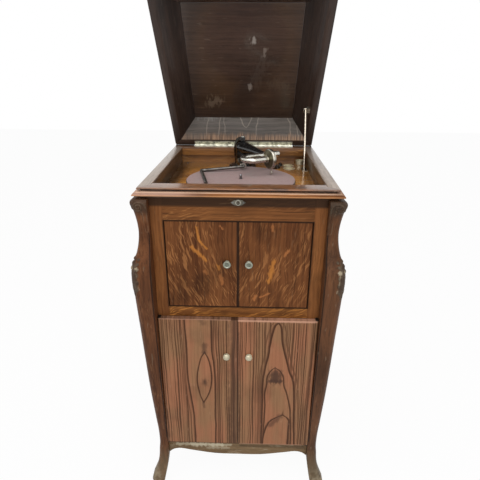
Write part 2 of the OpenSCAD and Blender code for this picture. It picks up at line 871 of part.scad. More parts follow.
module lower_left_knob() {
    lower_knob(-1);
}

module lower_right_knob() {
    lower_knob(1);
}

// Lid

// Carries what is drawn in the shut lid to the open lid
module open_lid() {
    translate([0, hinge_y, hinge_z]) rotate([-lid_open, 0, 0]) translate([0, -hinge_y, -hinge_z])
        children();
}

// The hollow inside the shut lid, open downwards
module lid_hollow(below) {
    x = rim_x - lid_edge_w;
    f = -rim_y + lid_edge_w;
    b = rim_y - lid_edge_w;
    low = lid_z - below;
    high = lid_z + lid_deep;
    intersection() {
        rotate([90, 0, 0]) linear_extrude(4 * rim_y, center = true)
            polygon([[-x, low], [x, low], [x, lid_z], [lid_px, high], [-lid_px, high], [-x, lid_z]]);
        rotate([90, 0, 90]) linear_extrude(4 * rim_x, center = true)
            polygon([[f, low], [b, low], [b, lid_z], [lid_pb, high], [lid_pf, high], [f, lid_z]]);
    }
}

module lid_rails() {
    top = lid_z + lid_h;
    cove = arc([-lid_step, lid_z + lid_cove_top], lid_cove_in - lid_step, lid_cove_top - lid_band,
        -90, -180, 8);
    outline = concat([[0, lid_z], [0, lid_z + lid_band]], cove, [[-lid_cove_in, top]]);
    e = joint_line;
    front = [[-rim_x, -rim_y], [rim_x, -rim_y], [lid_px, lid_pf], [-lid_px, lid_pf]];
    back = [[rim_x, rim_y], [-rim_x, rim_y], [-lid_px, lid_pb], [lid_px, lid_pb]];
    side = [[rim_x, e - rim_y], [rim_x, rim_y - e], [lid_px, lid_pb - e], [lid_px, lid_pf + e]];
    color(lid_oak) open_lid() difference() {
        for (plan = [front, back, side, [for (p = side) [-p[0], p[1]]]])
            intersection() {
                envelope(rim_x, rim_y, outline);
                translate([0, 0, lid_z]) linear_extrude(lid_h) polygon(plan);
            }
        lid_hollow(1);
    }
}

module lid_panel() {
    e = joint_line;
    color(lid_oak) open_lid()
        board([e - lid_px, lid_pf + e, lid_z + lid_deep],
            [lid_px - e, lid_pb - e, lid_z + lid_deep + lid_panel_t]);
}

// Knuckles of one leaf of the strip hinge, every second one from the first given
module hinge_knuckles(first, plate_z) {
    pitch = hinge_len / knuckles;
    for (i = [first:2:knuckles - 1]) {
        x = -hinge_len / 2 + i * pitch + loose / 2;
        translate([x, hinge_y, hinge_z]) rotate([0, 90, 0]) cylinder(r = knuckle_r, h = pitch - loose);
        board([x, hinge_y - knuckle_r - 1, plate_z], [x + pitch - loose, hinge_y, plate_z + leaf_t]);
    }
}

module hinge_plate(plate_z) {
    edge = hinge_y - knuckle_r - run;
    board([-hinge_len / 2, edge - leaf_w, plate_z], [hinge_len / 2, edge, plate_z + leaf_t]);
}

module lid_hinge_case_leaf() {
    color(nickel) {
        hinge_plate(rim_h);
        hinge_knuckles(0, rim_h);
        translate([-hinge_len / 2, hinge_y, hinge_z]) rotate([0, 90, 0])
            cylinder(r = hinge_pin_r, h = hinge_len);
    }
}

module lid_hinge_leaf() {
    color(nickel) open_lid() difference() {
        union() {
            hinge_plate(lid_z - leaf_t);
            hinge_knuckles(1, lid_z - leaf_t);
        }
        translate([-hinge_len / 2, hinge_y, hinge_z]) rotate([0, 90, 0])
            cylinder(r = hinge_pin_r + fit, h = hinge_len);
    }
}

module stay_bracket() {
    inner = stay_x + stay_r + loose;
    head_t = 2;
    head_x = stay_x - stay_r - loose - head_t;
    b = bracket_half;
    color(nickel) open_lid() {
        intersection() {
            board([inner, stay_y - b, stay_z - b], [rim_x, stay_y + b, stay_z + b]);
            lid_hollow(0);
        }
        translate([head_x, stay_y, stay_z]) rotate([0, 90, 0])
            cylinder(r = stay_pin_r, h = inner + joint_line - head_x);
        translate([head_x, stay_y, stay_z]) rotate([0, 90, 0])
            cylinder(r = 2 * stay_pin_r, h = head_t);
    }
}

module stay_rod() {
    color(nickel) translate([stay_x, stay_rest[0], stay_rest[1]]) rotate([stay_lean, 0, 0])
        difference() {
            union() {
                translate([0, 0, -stay_len]) cylinder(r = stay_r, h = stay_len);
                translate([-eye_t / 2, 0, 0]) rotate([0, 90, 0]) cylinder(r = eye_r, h = eye_t);
            }
            translate([-2 * stay_r, 0, 0]) rotate([0, 90, 0])
                cylinder(r = stay_pin_r + fit, h = 4 * stay_r);
        }
}

// Turntable and motor

module turntable() {
    low = deck_z + platter_gap;
    high = low + platter_h;
    r = platter_r;
    wall = 3;
    hub_r = 16;
    color(steel) translate([0, platter_y, 0]) rotate_extrude($fn = 128) polygon([
        [shaft_r, low], [hub_r, low], [hub_r, high - wall], [r - wall, high - wall],
        [r - wall, low], [r, low],
        [r, high - 1], [r - 1, high], [shaft_r, high]]);
}

module turntable_felt() {
    color(felt_mauve) translate([0, platter_y, felt_z - felt_t]) difference() {
        cylinder(r = platter_r - 1.5, h = felt_t, $fn = 128);
        translate([0, 0, -1]) cylinder(r = shaft_r + loose, h = felt_t + 2);
    }
}

// Points of one gear tooth after another: the flanks are involutes
function inv(a) = tan(a) * 180 / PI - a;
function tooth_half(r, rp, rb, n, m) =
    90 / n - backlash / 2 / rp * 180 / PI + inv(pressure) - inv(acos(min(1, rb / r)));
function gear_points(n, m) = let (
    rp = m * n / 2,
    rb = rp * cos(pressure),
    ra = rp + addendum * m,
    rr = rp - dedendum * m,
    rs = max(rb, rr),
    radii = [rs, (rs + ra) / 2, ra]
) [for (i = [0:n - 1]) each let (c = i * 360 / n) concat(
    [let (a = c - tooth_half(rs, rp, rb, n, m)) rr * [cos(a), sin(a)]],
    [for (r = radii) let (a = c - tooth_half(r, rp, rb, n, m)) r * [cos(a), sin(a)]],
    [for (r = reversed(radii)) let (a = c + tooth_half(r, rp, rb, n, m)) r * [cos(a), sin(a)]],
    [let (a = c + tooth_half(rs, rp, rb, n, m)) rr * [cos(a), sin(a)]]
)];

// A spur gear with a tooth pointing along the given angle
module gear(n, m, thick, angle) {
    rotate([0, 0, angle]) linear_extrude(thick) polygon(gear_points(n, m));
}

module spindle() {
    top = felt_z + spindle_up;
    color(steel) translate([0, platter_y, 0]) {
        translate([0, 0, frame_low + 1]) cylinder(r = shaft_r, h = felt_z - frame_low - 1);
        translate([0, 0, felt_z - 1]) cylinder(r = spindle_r, h = spindle_up - spindle_tip + 1);
        translate([0, 0, top - spindle_tip]) cylinder(r1 = spindle_r, r2 = spindle_r - 2, h = spindle_tip);
        translate([0, 0, spin_gear_z]) gear(big_teeth, gear_m, gear_t, governor_angle);
        translate([0, 0, inter_gear_z - 1])
            gear(small_teeth, gear_m, gear_t + 2, inter_angle);
    }
}

module intermediate_gear() {
    face = inter_angle + 180;
    color(brass) translate([inter_at[0], inter_at[1], 0]) {
        translate([0, 0, frame_low + 1])
            cylinder(r = inter_shaft_r, h = plate_high - frame_low - 2);
        translate([0, 0, inter_gear_z]) gear(big_teeth, gear_m, gear_t, face + 180 / big_teeth);
        translate([0, 0, barrel_gear_z - 1]) gear(barrel_pinion, barrel_m, gear_t + 2, barrel_angle);
    }
}

module spring_barrel() {
    low = frame_high + run;
    r = barrel_r;
    face = barrel_angle + 180;
    color(brass) translate([barrel_at[0], barrel_at[1], 0]) difference() {
        union() {
            translate([0, 0, low]) cylinder(r = r, h = barrel_gear_z - low + 1);
            translate([0, 0, barrel_gear_z])
                gear(barrel_teeth, barrel_m, gear_t, face + 180 / barrel_teeth);
        }
        translate([0, 0, low + barrel_wall])
            cylinder(r = r - barrel_wall, h = barrel_gear_z - low - barrel_wall);
        translate([0, 0, low - 1]) cylinder(r = arbor_r + fit, h = motor_h);
    }
}

module mainspring() {
    low = frame_high + run + barrel_wall + loose;
    high = barrel_gear_z - loose;
    r0 = arbor_r + 4;
    r1 = barrel_r - barrel_wall - spring_t - loose;
    n = spring_turns * 24;
    inner = [for (k = [0:n]) let (a = 360 * k / 24) (r0 + (r1 - r0) * k / n) * [cos(a), sin(a)]];
    outer = [for (k = [0:n]) let (a = 360 * k / 24) (r0 + (r1 - r0) * k / n + spring_t) * [cos(a), sin(a)]];
    color(steel) translate([barrel_at[0], barrel_at[1], low]) linear_extrude(high - low)
        polygon(concat(inner, reversed(outer)));
}

module barrel_arbor() {
    color(steel) translate([barrel_at[0], barrel_at[1], 0]) {
        translate([0, 0, frame_low + 1]) cylinder(r = arbor_r, h = plate_high - frame_low - 2);
        translate([0, 0, spin_gear_z - 2]) cylinder(r = arbor_wheel_r, h = gear_t + 2);
        translate([0, 0, barrel_gear_z + gear_t + run])
            cylinder(r = arbor_r + 4, h = spin_gear_z - 2 - barrel_gear_z - gear_t - run);
    }
}

module governor() {
    low = frame_high + 10;
    high = inter_gear_z + 4;
    mid = (low + high) / 2;
    reach = 15;
    lean = atan2(reach - 6, (high - low) / 2);
    long = norm([reach - 6, (high - low) / 2]);
    color(steel) translate([governor_at[0], governor_at[1], 0]) {
        translate([0, 0, frame_low + 1])
            cylinder(r = governor_shaft_r, h = plate_high - frame_low - 2);
        translate([0, 0, spin_gear_z - 1])
            gear(small_teeth, gear_m, gear_t + 2, governor_angle + 180 + 180 / small_teeth);
        translate([0, 0, low - 3]) cylinder(r = governor_disc_r, h = 3);
        translate([0, 0, low]) cylinder(r = 7, h = 5);
        translate([0, 0, high - 5]) cylinder(r = 7, h = 5);
        for (a = [0:120:240]) rotate([0, 0, a]) {
            translate([reach, 0, mid - 4]) cylinder(r = 6, h = 8);
            translate([6, -3, low + 2]) rotate([0, lean, 0]) cube([1, 6, long]);
            translate([6, -3, high - 2]) mirror([0, 0, 1]) rotate([0, lean, 0]) cube([1, 6, long]);
        }
    }
}

module motor_top_plate() {
    color(steel) difference() {
        union() {
            hull() for (p = pillar_places) translate([p[0], p[1], plate_low])
                cylinder(r = plate_round, h = plate_t, $fn = 32);
            board([wind_block_x, wind_y - wind_r - 4, wind_z - wind_r - 3],
                [wind_block_x + wind_block_t, wind_y + wind_r + 4, plate_low + 1]);
        }
        bearing_holes(plate_low - 1);
        translate([wind_block_x - 1, wind_y, wind_z]) rotate([0, 90, 0])
            cylinder(r = wind_r + fit, h = wind_block_t + 2);
        for (p = pillar_places) translate([p[0], p[1], plate_low - 1])
            cylinder(r = bolt_r + fit, h = plate_t + 2);
    }
}

// Holes for the motor's shafts in a plate
module bearing_holes(z) {
    h = plate_t + 2;
    translate([spindle_at[0], spindle_at[1], z]) cylinder(r = shaft_r + fit, h = h);
    translate([inter_at[0], inter_at[1], z]) cylinder(r = inter_shaft_r + fit, h = h);
    translate([barrel_at[0], barrel_at[1], z]) cylinder(r = arbor_r + fit, h = h);
    translate([governor_at[0], governor_at[1], z]) cylinder(r = governor_shaft_r + fit, h = h);
}

module motor_frame() {
    color(black) difference() {
        union() {
            hull() for (p = pillar_places) translate([p[0], p[1], frame_low])
                cylinder(r = frame_round, h = plate_t, $fn = 32);
            for (p = pillar_places) translate([p[0], p[1], frame_high - 1])
                cylinder(r = pillar_r, h = motor_h + 1);
        }
        bearing_holes(frame_low - 1);
        for (p = pillar_places) translate([p[0], p[1], plate_low - 20])
            cylinder(r = bolt_r + fit, h = 21);
    }
}

module motor_bolts() {
    color(nickel) for (p = pillar_places) translate([p[0], p[1], 0]) {
        translate([0, 0, deck_z]) cylinder(r = 6, h = platter_gap - 1);
        translate([0, 0, plate_low - 18]) cylinder(r = bolt_r, h = deck_z - plate_low + 19);
        translate([0, 0, plate_high]) cylinder(r = 7, h = motor_drop);
    }
}

module winding_shaft() {
    left = barrel_at[0] - 20;
    worm = 40;
    color(steel) translate([0, wind_y, wind_z]) rotate([0, 90, 0]) difference() {
        union() {
            translate([0, 0, left]) cylinder(r = wind_r, h = wind_end - left);
            translate([0, 0, left]) cylinder(r = worm_r, h = worm);
            translate([0, 0, half_w - 24]) cylinder(r = wind_bush_r, h = wind_end - half_w + 24);
        }
        translate([0, 0, wind_end - socket_deep]) cylinder(r = socket_r, h = socket_deep + 1);
    }
}

// Tonearm

// Along X from the tonearm's pivot towards the sound box, with Y to the arm's right-hand side
module along_arm() {
    translate([0, arm_y, arm_z]) rotate([0, 0, arm_angle - 90]) children();
}

module tonearm_base() {
    foot_x = arch_r * cos(35);
    foot_z = arch_z - arch_r * sin(35);
    top = arm_z + ball_r + boss_up + run;
    color(black) translate([0, arm_y, 0]) difference() {
        union() {
            translate([0, 0, deck_z]) cylinder(r = base_r, h = base_t);
            translate([0, 0, deck_z]) cylinder(r = pipe_r + 7, h = collar_h);
            rotate([0, 0, arm_angle - 90]) {
                translate([0, 0, arch_z]) rotate([90, 0, 0]) rotate([0, 0, 90])
                    rotate_extrude(angle = 125) translate([arch_r, 0])
                        square([arch_t, arch_w], center = true);
                board([-foot_x - arch_t / 2, -arch_w / 2, deck_z],
                    [-foot_x + arch_t / 2, arch_w / 2, foot_z + 3]);
            }
            translate([0, 0, arch_z + arch_r - arch_t / 2]) cylinder(r = 9, h = arch_t);
            translate([0, 0, top]) cylinder(r = 3, h = arch_z + arch_r - top);
            translate([0, 0, arch_z + arch_r]) cylinder(r = 5, h = arch_t / 2 + 3);
        }
        translate([0, 0, deck_z - 1]) cylinder(r = pipe_r, h = collar_h + 2);
    }
}

module tonearm() {
    wall = 2.5;
    step = 1;
    low = deck_z + collar_h + run - arm_z;
    color(black) along_arm() difference() {
        union() {
            translate([0, 0, low]) cylinder(r = arm_r, h = -low);
            sphere(r = ball_r);
            cylinder(r = 6, h = ball_r + boss_up);
            rotate([0, 90, 0]) cylinder(r1 = arm_r, r2 = arm_tip_r - step, h = arm_len);
            translate([arm_len, joint_l, 0]) rotate([-90, 0, 0])
                cylinder(r = arm_tip_r, h = ferrule_out - joint_l);
        }
        translate([0, 0, low - 1]) cylinder(r = arm_r - wall, h = 1 - low);
        sphere(r = ball_r - wall - step / 2);
        rotate([0, 90, 0])
            cylinder(r1 = arm_r - wall - step, r2 = arm_tip_r - wall - step, h = arm_len);
        translate([arm_len, joint_l - 1, 0]) rotate([-90, 0, 0])
            cylinder(r = arm_tip_r - wall, h = ferrule_out - joint_l - 3);
    }
}

module gooseneck() {
    l0 = joint_l - loose;
    l1 = joint_l - goose_leg;
    wall = 1.5;
    module tube(r) {
        translate([arm_len, l0, 0]) rotate([90, 0, 0]) cylinder(r = r, h = l0 - l1);
        translate([arm_len + goose_bend, l1, 0]) rotate([0, 0, 180])
            rotate_extrude(angle = 180) translate([goose_bend, 0]) circle(r);
        translate([sound_s, l1, 0]) rotate([-90, 0, 0]) cylinder(r = r, h = sound_l - l1);
    }
    color(nickel) along_arm() difference() {
        tube(goose_r);
        tube(goose_r - wall);
    }
}

module sound_box() {
    r = sound_r;
    t = sound_t;
    color(nickel) along_arm() translate([sound_s, sound_l, 0]) rotate([-90, 0, 0])
        rotate_extrude() polygon([
            [goose_r - 1.5, 0], [goose_r + 3, 0], [goose_r + 3, 2], [r - 4, 4], [r - 1, 5], [r, 7],
            [r, t - 2], [r - 1, t], [r - 5, t], [r - 5, t - 4], [0, t - 4], [0, t - 6], [r - 6, t - 6],
            [r - 7, 6.5], [goose_r - 1.5, 5]]);
}

module needle_bar() {
    face = sound_l + sound_t;
    bar = sound_r + 8;
    tip = felt_z + loose - arm_z;
    color(steel) along_arm() translate([sound_s, face, 0]) {
        translate([0, -4, 0]) rotate([-90, 0, 0]) cylinder(r = 2.5, h = 6.2);
        board([-1.5, 0.4, -bar], [1.5, 3, 0]);
        translate([0, 1.7, -bar - 7]) cylinder(r = 3.2, h = 9);
        translate([2, 1.7, -bar - 2]) rotate([0, 90, 0]) cylinder(r = 2.2, h = 7);
        translate([0, 1.7, tip]) cylinder(r1 = 0.4, r2 = 1.1, h = -bar - 6 - tip);
    }
}

// Small deck fittings

module brake_lever() {
    to_spindle = [-brake_place[0], platter_y - brake_place[1]];
    inward = norm(to_spindle) - platter_r - run;
    z = deck_z + loose;
    color(black) translate([brake_place[0], brake_place[1], 0])
        rotate([0, 0, atan2(to_spindle[1], to_spindle[0])]) {
            translate([0, 0, deck_z - 8]) cylinder(r = 3, h = 12);
            translate([0, 0, z]) cylinder(r = 9, h = 11);
            board([-brake_tail, -3.5, z + 3], [inward - 3, 3.5, z + 7]);
            board([inward - 6, -5, z + 3], [inward, 5, z + 11]);
            translate([-brake_tail, 0, z + 3]) cylinder(r1 = 7, r2 = 5.5, h = 10);
        }
}

module speed_knob() {
    color(black) translate([speed_place[0], speed_place[1], 0]) {
        translate([0, 0, deck_z - 12]) cylinder(r = 4, h = 13);
        translate([0, 0, deck_z + loose]) cylinder(r = 16, h = 3);
        translate([0, 0, deck_z + loose + 3]) cylinder(r1 = 11, r2 = 9.5, h = 9);
    }
}

// Crank

// Along X from the crank's elbow to its handle, with the handle along Y
module on_felt() {
    translate([crank_place[0], crank_place[1], crank_z]) rotate([0, 0, crank_turn])
        rotate([0, -crank_tilt, 0]) children();
}

module crank_rod() {
    color(steel) on_felt() {
        rotate([90, 0, 0]) cylinder(r = crank_r, h = crank_shaft);
        sphere(r = crank_r);
        rotate([0, 90, 0]) cylinder(r = crank_r, h = crank_arm);
        translate([crank_arm, 0, 0]) sphere(r = crank_r);
        translate([crank_arm, 0, 0]) rotate([-90, 0, 0])
            cylinder(r = handle_pin_r, h = handle_start + handle_len + 3);
        translate([crank_arm, handle_start + handle_len + loose, 0]) rotate([-90, 0, 0])
            cylinder(r = handle_pin_r + 2, h = 3);
    }
}

module crank_handle() {
    r = handle_r;
    l = handle_len;
    color(black) on_felt() translate([crank_arm, handle_start, 0]) rotate([-90, 0, 0])
        rotate_extrude() polygon([
            [handle_pin_r + fit, 0], [r * 0.7, 0], [r * 0.78, 3], [r * 0.82, l * 0.15], [r * 0.95, l * 0.4],
            [r, l * 0.62], [r * 0.95, l * 0.82], [r * 0.8, l * 0.95], [r * 0.6, l], [handle_pin_r + fit, l]]);
}

// Carries the case forward of the origin
module seat() {
    translate([0, case_y, 0]) children();
}

seat() front_posts();
seat() rear_posts();
seat() front_stiles();
seat() top_rail();
seat() middle_rail();
seat() aprons();
seat() side_panels();
seat() back_panel();
seat() floor_board();
seat() horn_shelf();
seat() record_dividers();
seat() deck_blocks();
seat() top_moulding();
seat() top_rim();
seat() motor_board();
seat() lid_hinge_case_leaf();
seat() lock_plate();
seat() lid_lock();
seat() crank_plate();
seat() needle_cups();
seat() stay_guide();
seat() horn_boards();
seat() horn_elbow();
seat() tonearm_base();
seat() motor_top_plate();
seat() motor_frame();
seat() motor_bolts();
seat() upper_door_pins();
seat() lower_door_pivots();
seat() lid_rails();
seat() lid_panel();
seat() lid_hinge_leaf();
seat() stay_bracket();
seat() stay_rod();
seat() upper_left_door();
seat() upper_right_door();
seat() lower_left_door();
seat() lower_right_door();
seat() upper_left_knob();
seat() upper_right_knob();
seat() lower_left_knob();
seat() lower_right_knob();
seat() turntable();
seat() turntable_felt();
seat() spindle();
seat() intermediate_gear();
seat() spring_barrel();
seat() mainspring();
seat() barrel_arbor();
seat() governor();
seat() winding_shaft();
seat() tonearm();
seat() gooseneck();
seat() sound_box();
seat() needle_bar();
seat() brake_lever();
seat() speed_knob();
seat() crank_rod();
seat() crank_handle();
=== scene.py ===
# %% [markdown]
# # A cabinet gramophone
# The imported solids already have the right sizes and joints. This lesson dresses them: it eases the
# edges of the boards, carves the posts, lays the felt, adds screws and small fittings, and gives each
# wood and metal a procedural finish. Every length here is in metres.

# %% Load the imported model
import json
import math

import bmesh
import bpy
import numpy as np
from mathutils import Matrix, Vector


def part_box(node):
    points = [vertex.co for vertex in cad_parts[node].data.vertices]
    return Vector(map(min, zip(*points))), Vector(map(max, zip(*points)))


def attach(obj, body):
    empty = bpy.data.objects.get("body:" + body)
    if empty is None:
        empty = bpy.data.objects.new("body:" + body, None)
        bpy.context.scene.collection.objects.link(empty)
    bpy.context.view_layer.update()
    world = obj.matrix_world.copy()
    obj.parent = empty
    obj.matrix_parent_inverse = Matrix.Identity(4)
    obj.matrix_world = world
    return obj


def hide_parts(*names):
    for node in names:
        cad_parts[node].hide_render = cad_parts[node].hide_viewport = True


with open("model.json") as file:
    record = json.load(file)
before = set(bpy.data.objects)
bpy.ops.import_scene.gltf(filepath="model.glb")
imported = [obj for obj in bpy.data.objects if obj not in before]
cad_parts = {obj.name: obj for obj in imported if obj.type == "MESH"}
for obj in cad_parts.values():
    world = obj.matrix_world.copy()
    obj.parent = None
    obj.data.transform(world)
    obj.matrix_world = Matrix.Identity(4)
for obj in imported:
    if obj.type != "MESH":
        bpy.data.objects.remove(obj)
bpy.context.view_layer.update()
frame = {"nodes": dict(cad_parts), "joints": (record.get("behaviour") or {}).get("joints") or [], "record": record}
scene = bpy.context.scene
node_of = frame["nodes"]
body_of_node = {n: b for b, names in frame["record"]["behaviour"]["bodies"].items() for n in names}
slot_of_node = {s["node"]: s["material_slot"] for s in frame["record"]["subparts"]}
joint_at = {j["name"]: Vector(j["pos_m"]) for j in frame["joints"] if j.get("pos_m")}
RIGHT, BACK, UP = Vector((1, 0, 0)), Vector((0, 1, 0)), Vector((0, 0, 1))
rim_low, rim_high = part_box("top_rim")
CASE_Y = (rim_low.y + rim_high.y) / 2

# %% [markdown]
# ## The camera
# The photo was taken from a little right of the middle, at about head height, looking down. A camera
# can be placed by eye, but here its place was worked out from the corners of the rim, the doors and
# the lid, so the drawing and the photo share one perspective.

# %% Camera
CAMERA_AT = Vector((0.0311, -1.1857 + CASE_Y, 1.2040))
PITCH, YAW, ROLL = 0.40135, 0.02848, 0.00418
LENS_MM, SENSOR_MM = 31.304, 36.0
level_right = Vector((math.cos(YAW), math.sin(YAW), 0))
level_ahead = Vector((-math.sin(YAW), math.cos(YAW), 0))
ahead = level_ahead * math.cos(PITCH) - UP * math.sin(PITCH)
above = UP * math.cos(PITCH) + level_ahead * math.sin(PITCH)
cam_right = level_right * math.cos(ROLL) + above * math.sin(ROLL)
cam_up = above * math.cos(ROLL) - level_right * math.sin(ROLL)
lens = bpy.data.cameras.new("photo_camera")
lens.lens, lens.sensor_width = LENS_MM, SENSOR_MM
camera = bpy.data.objects.new("photo_camera", lens)
turn = Matrix((cam_right, cam_up, -ahead)).transposed().to_4x4()
camera.matrix_world = Matrix.Translation(CAMERA_AT) @ turn
scene.collection.objects.link(camera)
bpy.context.scene.camera = camera
print("camera at", tuple(round(x, 3) for x in CAMERA_AT))

# %% [markdown]
# ## Short words for node trees
# A material is a tree of small nodes. Blender's own calls need three or four lines for each node, so
# these helpers add a node, set or link its inputs and hand back its output in one line. The materials
# below then read much like sums.

# %% Nodes and sums
def srgb(r, g, b):
    """A colour given from 0 to 255 as a screen shows it, as the shader wants it."""
    parts = [c / 255 for c in (r, g, b)]
    return tuple(c / 12.92 if c <= 0.04045 else ((c + 0.055) / 1.055) ** 2.4 for c in parts) + (1.0,)


def put(tree, kind, inputs=None, **settings):
    """Adds a node, sets its properties, and sets or links its inputs."""
    node = tree.nodes.new(kind)
    for name, value in settings.items():
        setattr(node, name, value)
    for key, value in (inputs or {}).items():
        if isinstance(value, bpy.types.NodeSocket):
            tree.links.new(value, node.inputs[key])
        else:
            node.inputs[key].default_value = value
    return node


def calc(tree, operation, a, b=0.0, c=0.0):
    return put(tree, "ShaderNodeMath", {0: a, 1: b, 2: c}, operation=operation).outputs[0]


def times(tree, a, b):
    return calc(tree, "MULTIPLY", a, b)


def plus(tree, a, b):
    return calc(tree, "ADD", a, b)


def minus(tree, a, b):
    return calc(tree, "SUBTRACT", a, b)


def most(tree, a, b):
    return calc(tree, "MAXIMUM", a, b)


def times_plus(tree, a, factor, more):
    return calc(tree, "MULTIPLY_ADD", a, factor, more)


def vec(tree, operation, a, b=(0, 0, 0), output="Vector"):
    return put(tree, "ShaderNodeVectorMath", {0: a, 1: b}, operation=operation).outputs[output]


def split(tree, vector):
    return put(tree, "ShaderNodeSeparateXYZ", {0: vector}).outputs


def join(tree, x=0.0, y=0.0, z=0.0):
    return put(tree, "ShaderNodeCombineXYZ", {0: x, 1: y, 2: z}).outputs[0]


def stored(tree, name):
    """A number that the mesh stores on each face or point."""
    return put(tree, "ShaderNodeAttribute", attribute_name=name).outputs["Fac"]


print("helpers for nodes and sums")

# %% Ranges, noise and colours
def span(tree, value, low, high, to_low=0.0, to_high=1.0):
    """Brings value from low..high to to_low..to_high with soft ends."""
    sockets = {"Value": value, "From Min": low, "From Max": high, "To Min": to_low, "To Max": to_high}
    return put(tree, "ShaderNodeMapRange", sockets, interpolation_type="SMOOTHSTEP").outputs[0]


def window(tree, value, start, full, fade, end):
    """Rises to 1 from start to full, and falls again from fade to end."""
    return times(tree, span(tree, value, start, full), span(tree, value, end, fade))


def cloud(tree, vector, stretch, detail=2.0):
    """Noise whose cells are 1 / stretch metres long each way."""
    scaled = vec(tree, "MULTIPLY", vector, stretch)
    return put(tree, "ShaderNodeTexNoise", {"Vector": scaled, "Scale": 1.0, "Detail": detail}).outputs["Fac"]


def blend_colour(tree, share, a, b):
    return put(tree, "ShaderNodeMix", {0: share, 6: a, 7: b}, data_type="RGBA").outputs[2]


def tinted(tree, colour, tint, share, strength=1.0):
    """Lays a tint over a colour where share is above 0."""
    return blend_colour(tree, times(tree, share, strength), colour, srgb(*tint))


def curve(tree, value, points, low, high):
    """A smooth curve through points, for a value from 0 to 1, with heights from low to high."""
    node = put(tree, "ShaderNodeFloatCurve", {"Value": value})
    track = node.mapping.curves[0]
    for point, (x, y) in zip(track.points, (points[0], points[-1])):
        point.location = (x, (y - low) / (high - low))
    for x, y in points[1:-1]:
        track.points.new(x, (y - low) / (high - low))
    node.mapping.update()
    return times_plus(tree, node.outputs[0], high - low, low)


print("helpers for ranges, noise and colours")

# %% Groups and materials
def new_group(name, inputs, outputs):
    tree = bpy.data.node_groups.new(name, "ShaderNodeTree")
    for label, kind, default in inputs:
        socket = tree.interface.new_socket(label, in_out="INPUT", socket_type="NodeSocket" + kind)
        if default is not None:
            socket.default_value = default
    for label, kind in outputs:
        tree.interface.new_socket(label, in_out="OUTPUT", socket_type="NodeSocket" + kind)
    return tree, put(tree, "NodeGroupInput").outputs


def give(tree, **results):
    """Links a group's results to its outputs."""
    put(tree, "NodeGroupOutput", results)
    print(tree.name, "has", len(tree.nodes), "nodes")


def use(tree, group, **inputs):
    """Adds a node group. Its inputs are named as in the group, with _ for a space."""
    named = {name.replace("_", " "): value for name, value in inputs.items()}
    return put(tree, "ShaderNodeGroup", named, node_tree=group).outputs


def new_material(name):
    material = bpy.data.materials.new(name)
    material.use_nodes = True
    material.node_tree.nodes.clear()
    return material, material.node_tree, put(material.node_tree, "ShaderNodeTexCoord").outputs["Object"]


def surface(tree, height, strength, depth, sockets):
    """Ends a material: a bump from the height, the shader and the output."""
    bump = put(tree, "ShaderNodeBump", {"Height": height, "Strength": strength, "Distance": depth})
    shader = put(tree, "ShaderNodeBsdfPrincipled", {**sockets, "Normal": bump.outputs[0]})
    put(tree, "ShaderNodeOutputMaterial", {"Surface": shader.outputs[0]})


print("helpers for groups and materials")

# %% [markdown]
# ## Light and floor
# The photo has a white ground and soft light from all round, with more from above and in front. A
# bright world with two wide area lamps gives that. Light Path shows the camera and the polished
# surfaces a plain white world, while the light that falls on the object stays at a plain level.

# %% World, lamps and floor
WHITE = (1, 1, 1, 1)
WORLD_LIGHT, FLOOR_GLOW, FLOOR_GREY, FLOOR_SIZE = 0.5, 0.95, 0.9, 14
scene.view_settings.view_transform = "Standard"
scene.world = bpy.data.worlds.new("studio")
scene.world.use_nodes = True
sky = scene.world.node_tree
sky.nodes.clear()


def looks_straight(tree):
    """1 for the camera's own rays and for those it sees in polish or through glass."""
    rays = put(tree, "ShaderNodeLightPath").outputs
    return most(tree, most(tree, rays["Is Camera Ray"], rays["Is Transmission Ray"]), rays["Is Glossy Ray"])


def area_lamp(name, place, aim, size, watts):
    lamp = bpy.data.lights.new(name, "AREA")
    lamp.shape, lamp.size, lamp.size_y, lamp.energy = "RECTANGLE", size, size, watts
    holder = bpy.data.objects.new(name, lamp)
    way = Vector(aim) - Vector(place)
    holder.matrix_world = Matrix.Translation(place) @ way.to_track_quat("-Z", "Y").to_matrix().to_4x4()
    scene.collection.objects.link(holder)


lit = put(sky, "ShaderNodeBackground", {"Color": WHITE, "Strength": WORLD_LIGHT})
white = put(sky, "ShaderNodeBackground", {"Color": WHITE, "Strength": 1.0})
mixed = put(sky, "ShaderNodeMixShader", {0: looks_straight(sky), 1: lit.outputs[0], 2: white.outputs[0]})
put(sky, "ShaderNodeOutputWorld", {"Surface": mixed.outputs[0]})
area_lamp("lamp_above", (-0.5, -1.2, 3.2), (0, 0, 0.7), 2.4, 42)
area_lamp("lamp_front", (0.9, -3.0, 1.7), (0, 0, 0.5), 2.2, 30)
bpy.ops.mesh.primitive_plane_add(size=FLOOR_SIZE)
floor = bpy.context.object
floor.name = "floor"
floor_paint, tree, _ = new_material("pale_floor")
matt = put(tree, "ShaderNodeBsdfDiffuse", {"Color": (FLOOR_GREY, FLOOR_GREY, FLOOR_GREY, 1)})
glow = put(tree, "ShaderNodeEmission", {"Color": WHITE, "Strength": 1.0})
share = times(tree, looks_straight(tree), FLOOR_GLOW)
mixed = put(tree, "ShaderNodeMixShader", {0: share, 1: matt.outputs[0], 2: glow.outputs[0]})
put(tree, "ShaderNodeOutputMaterial", {"Surface": mixed.outputs[0]})
floor.data.materials.append(floor_paint)
print("world, 2 lamps and a floor")

# %% [markdown]
# ## Oak
# Most of the case is quarter-sawn oak: narrow growth bands along the board, dark pores and short, pale
# ray flecks. The pattern could be painted on each board, but a node group that reads the board's own
# place does it once for all. Each board has a number of its own, in an attribute, that shifts the
# pattern, so that two boards never show one figure. Two more groups paint a streak or a line at a
# given place, and another one wears and dirties any finish.

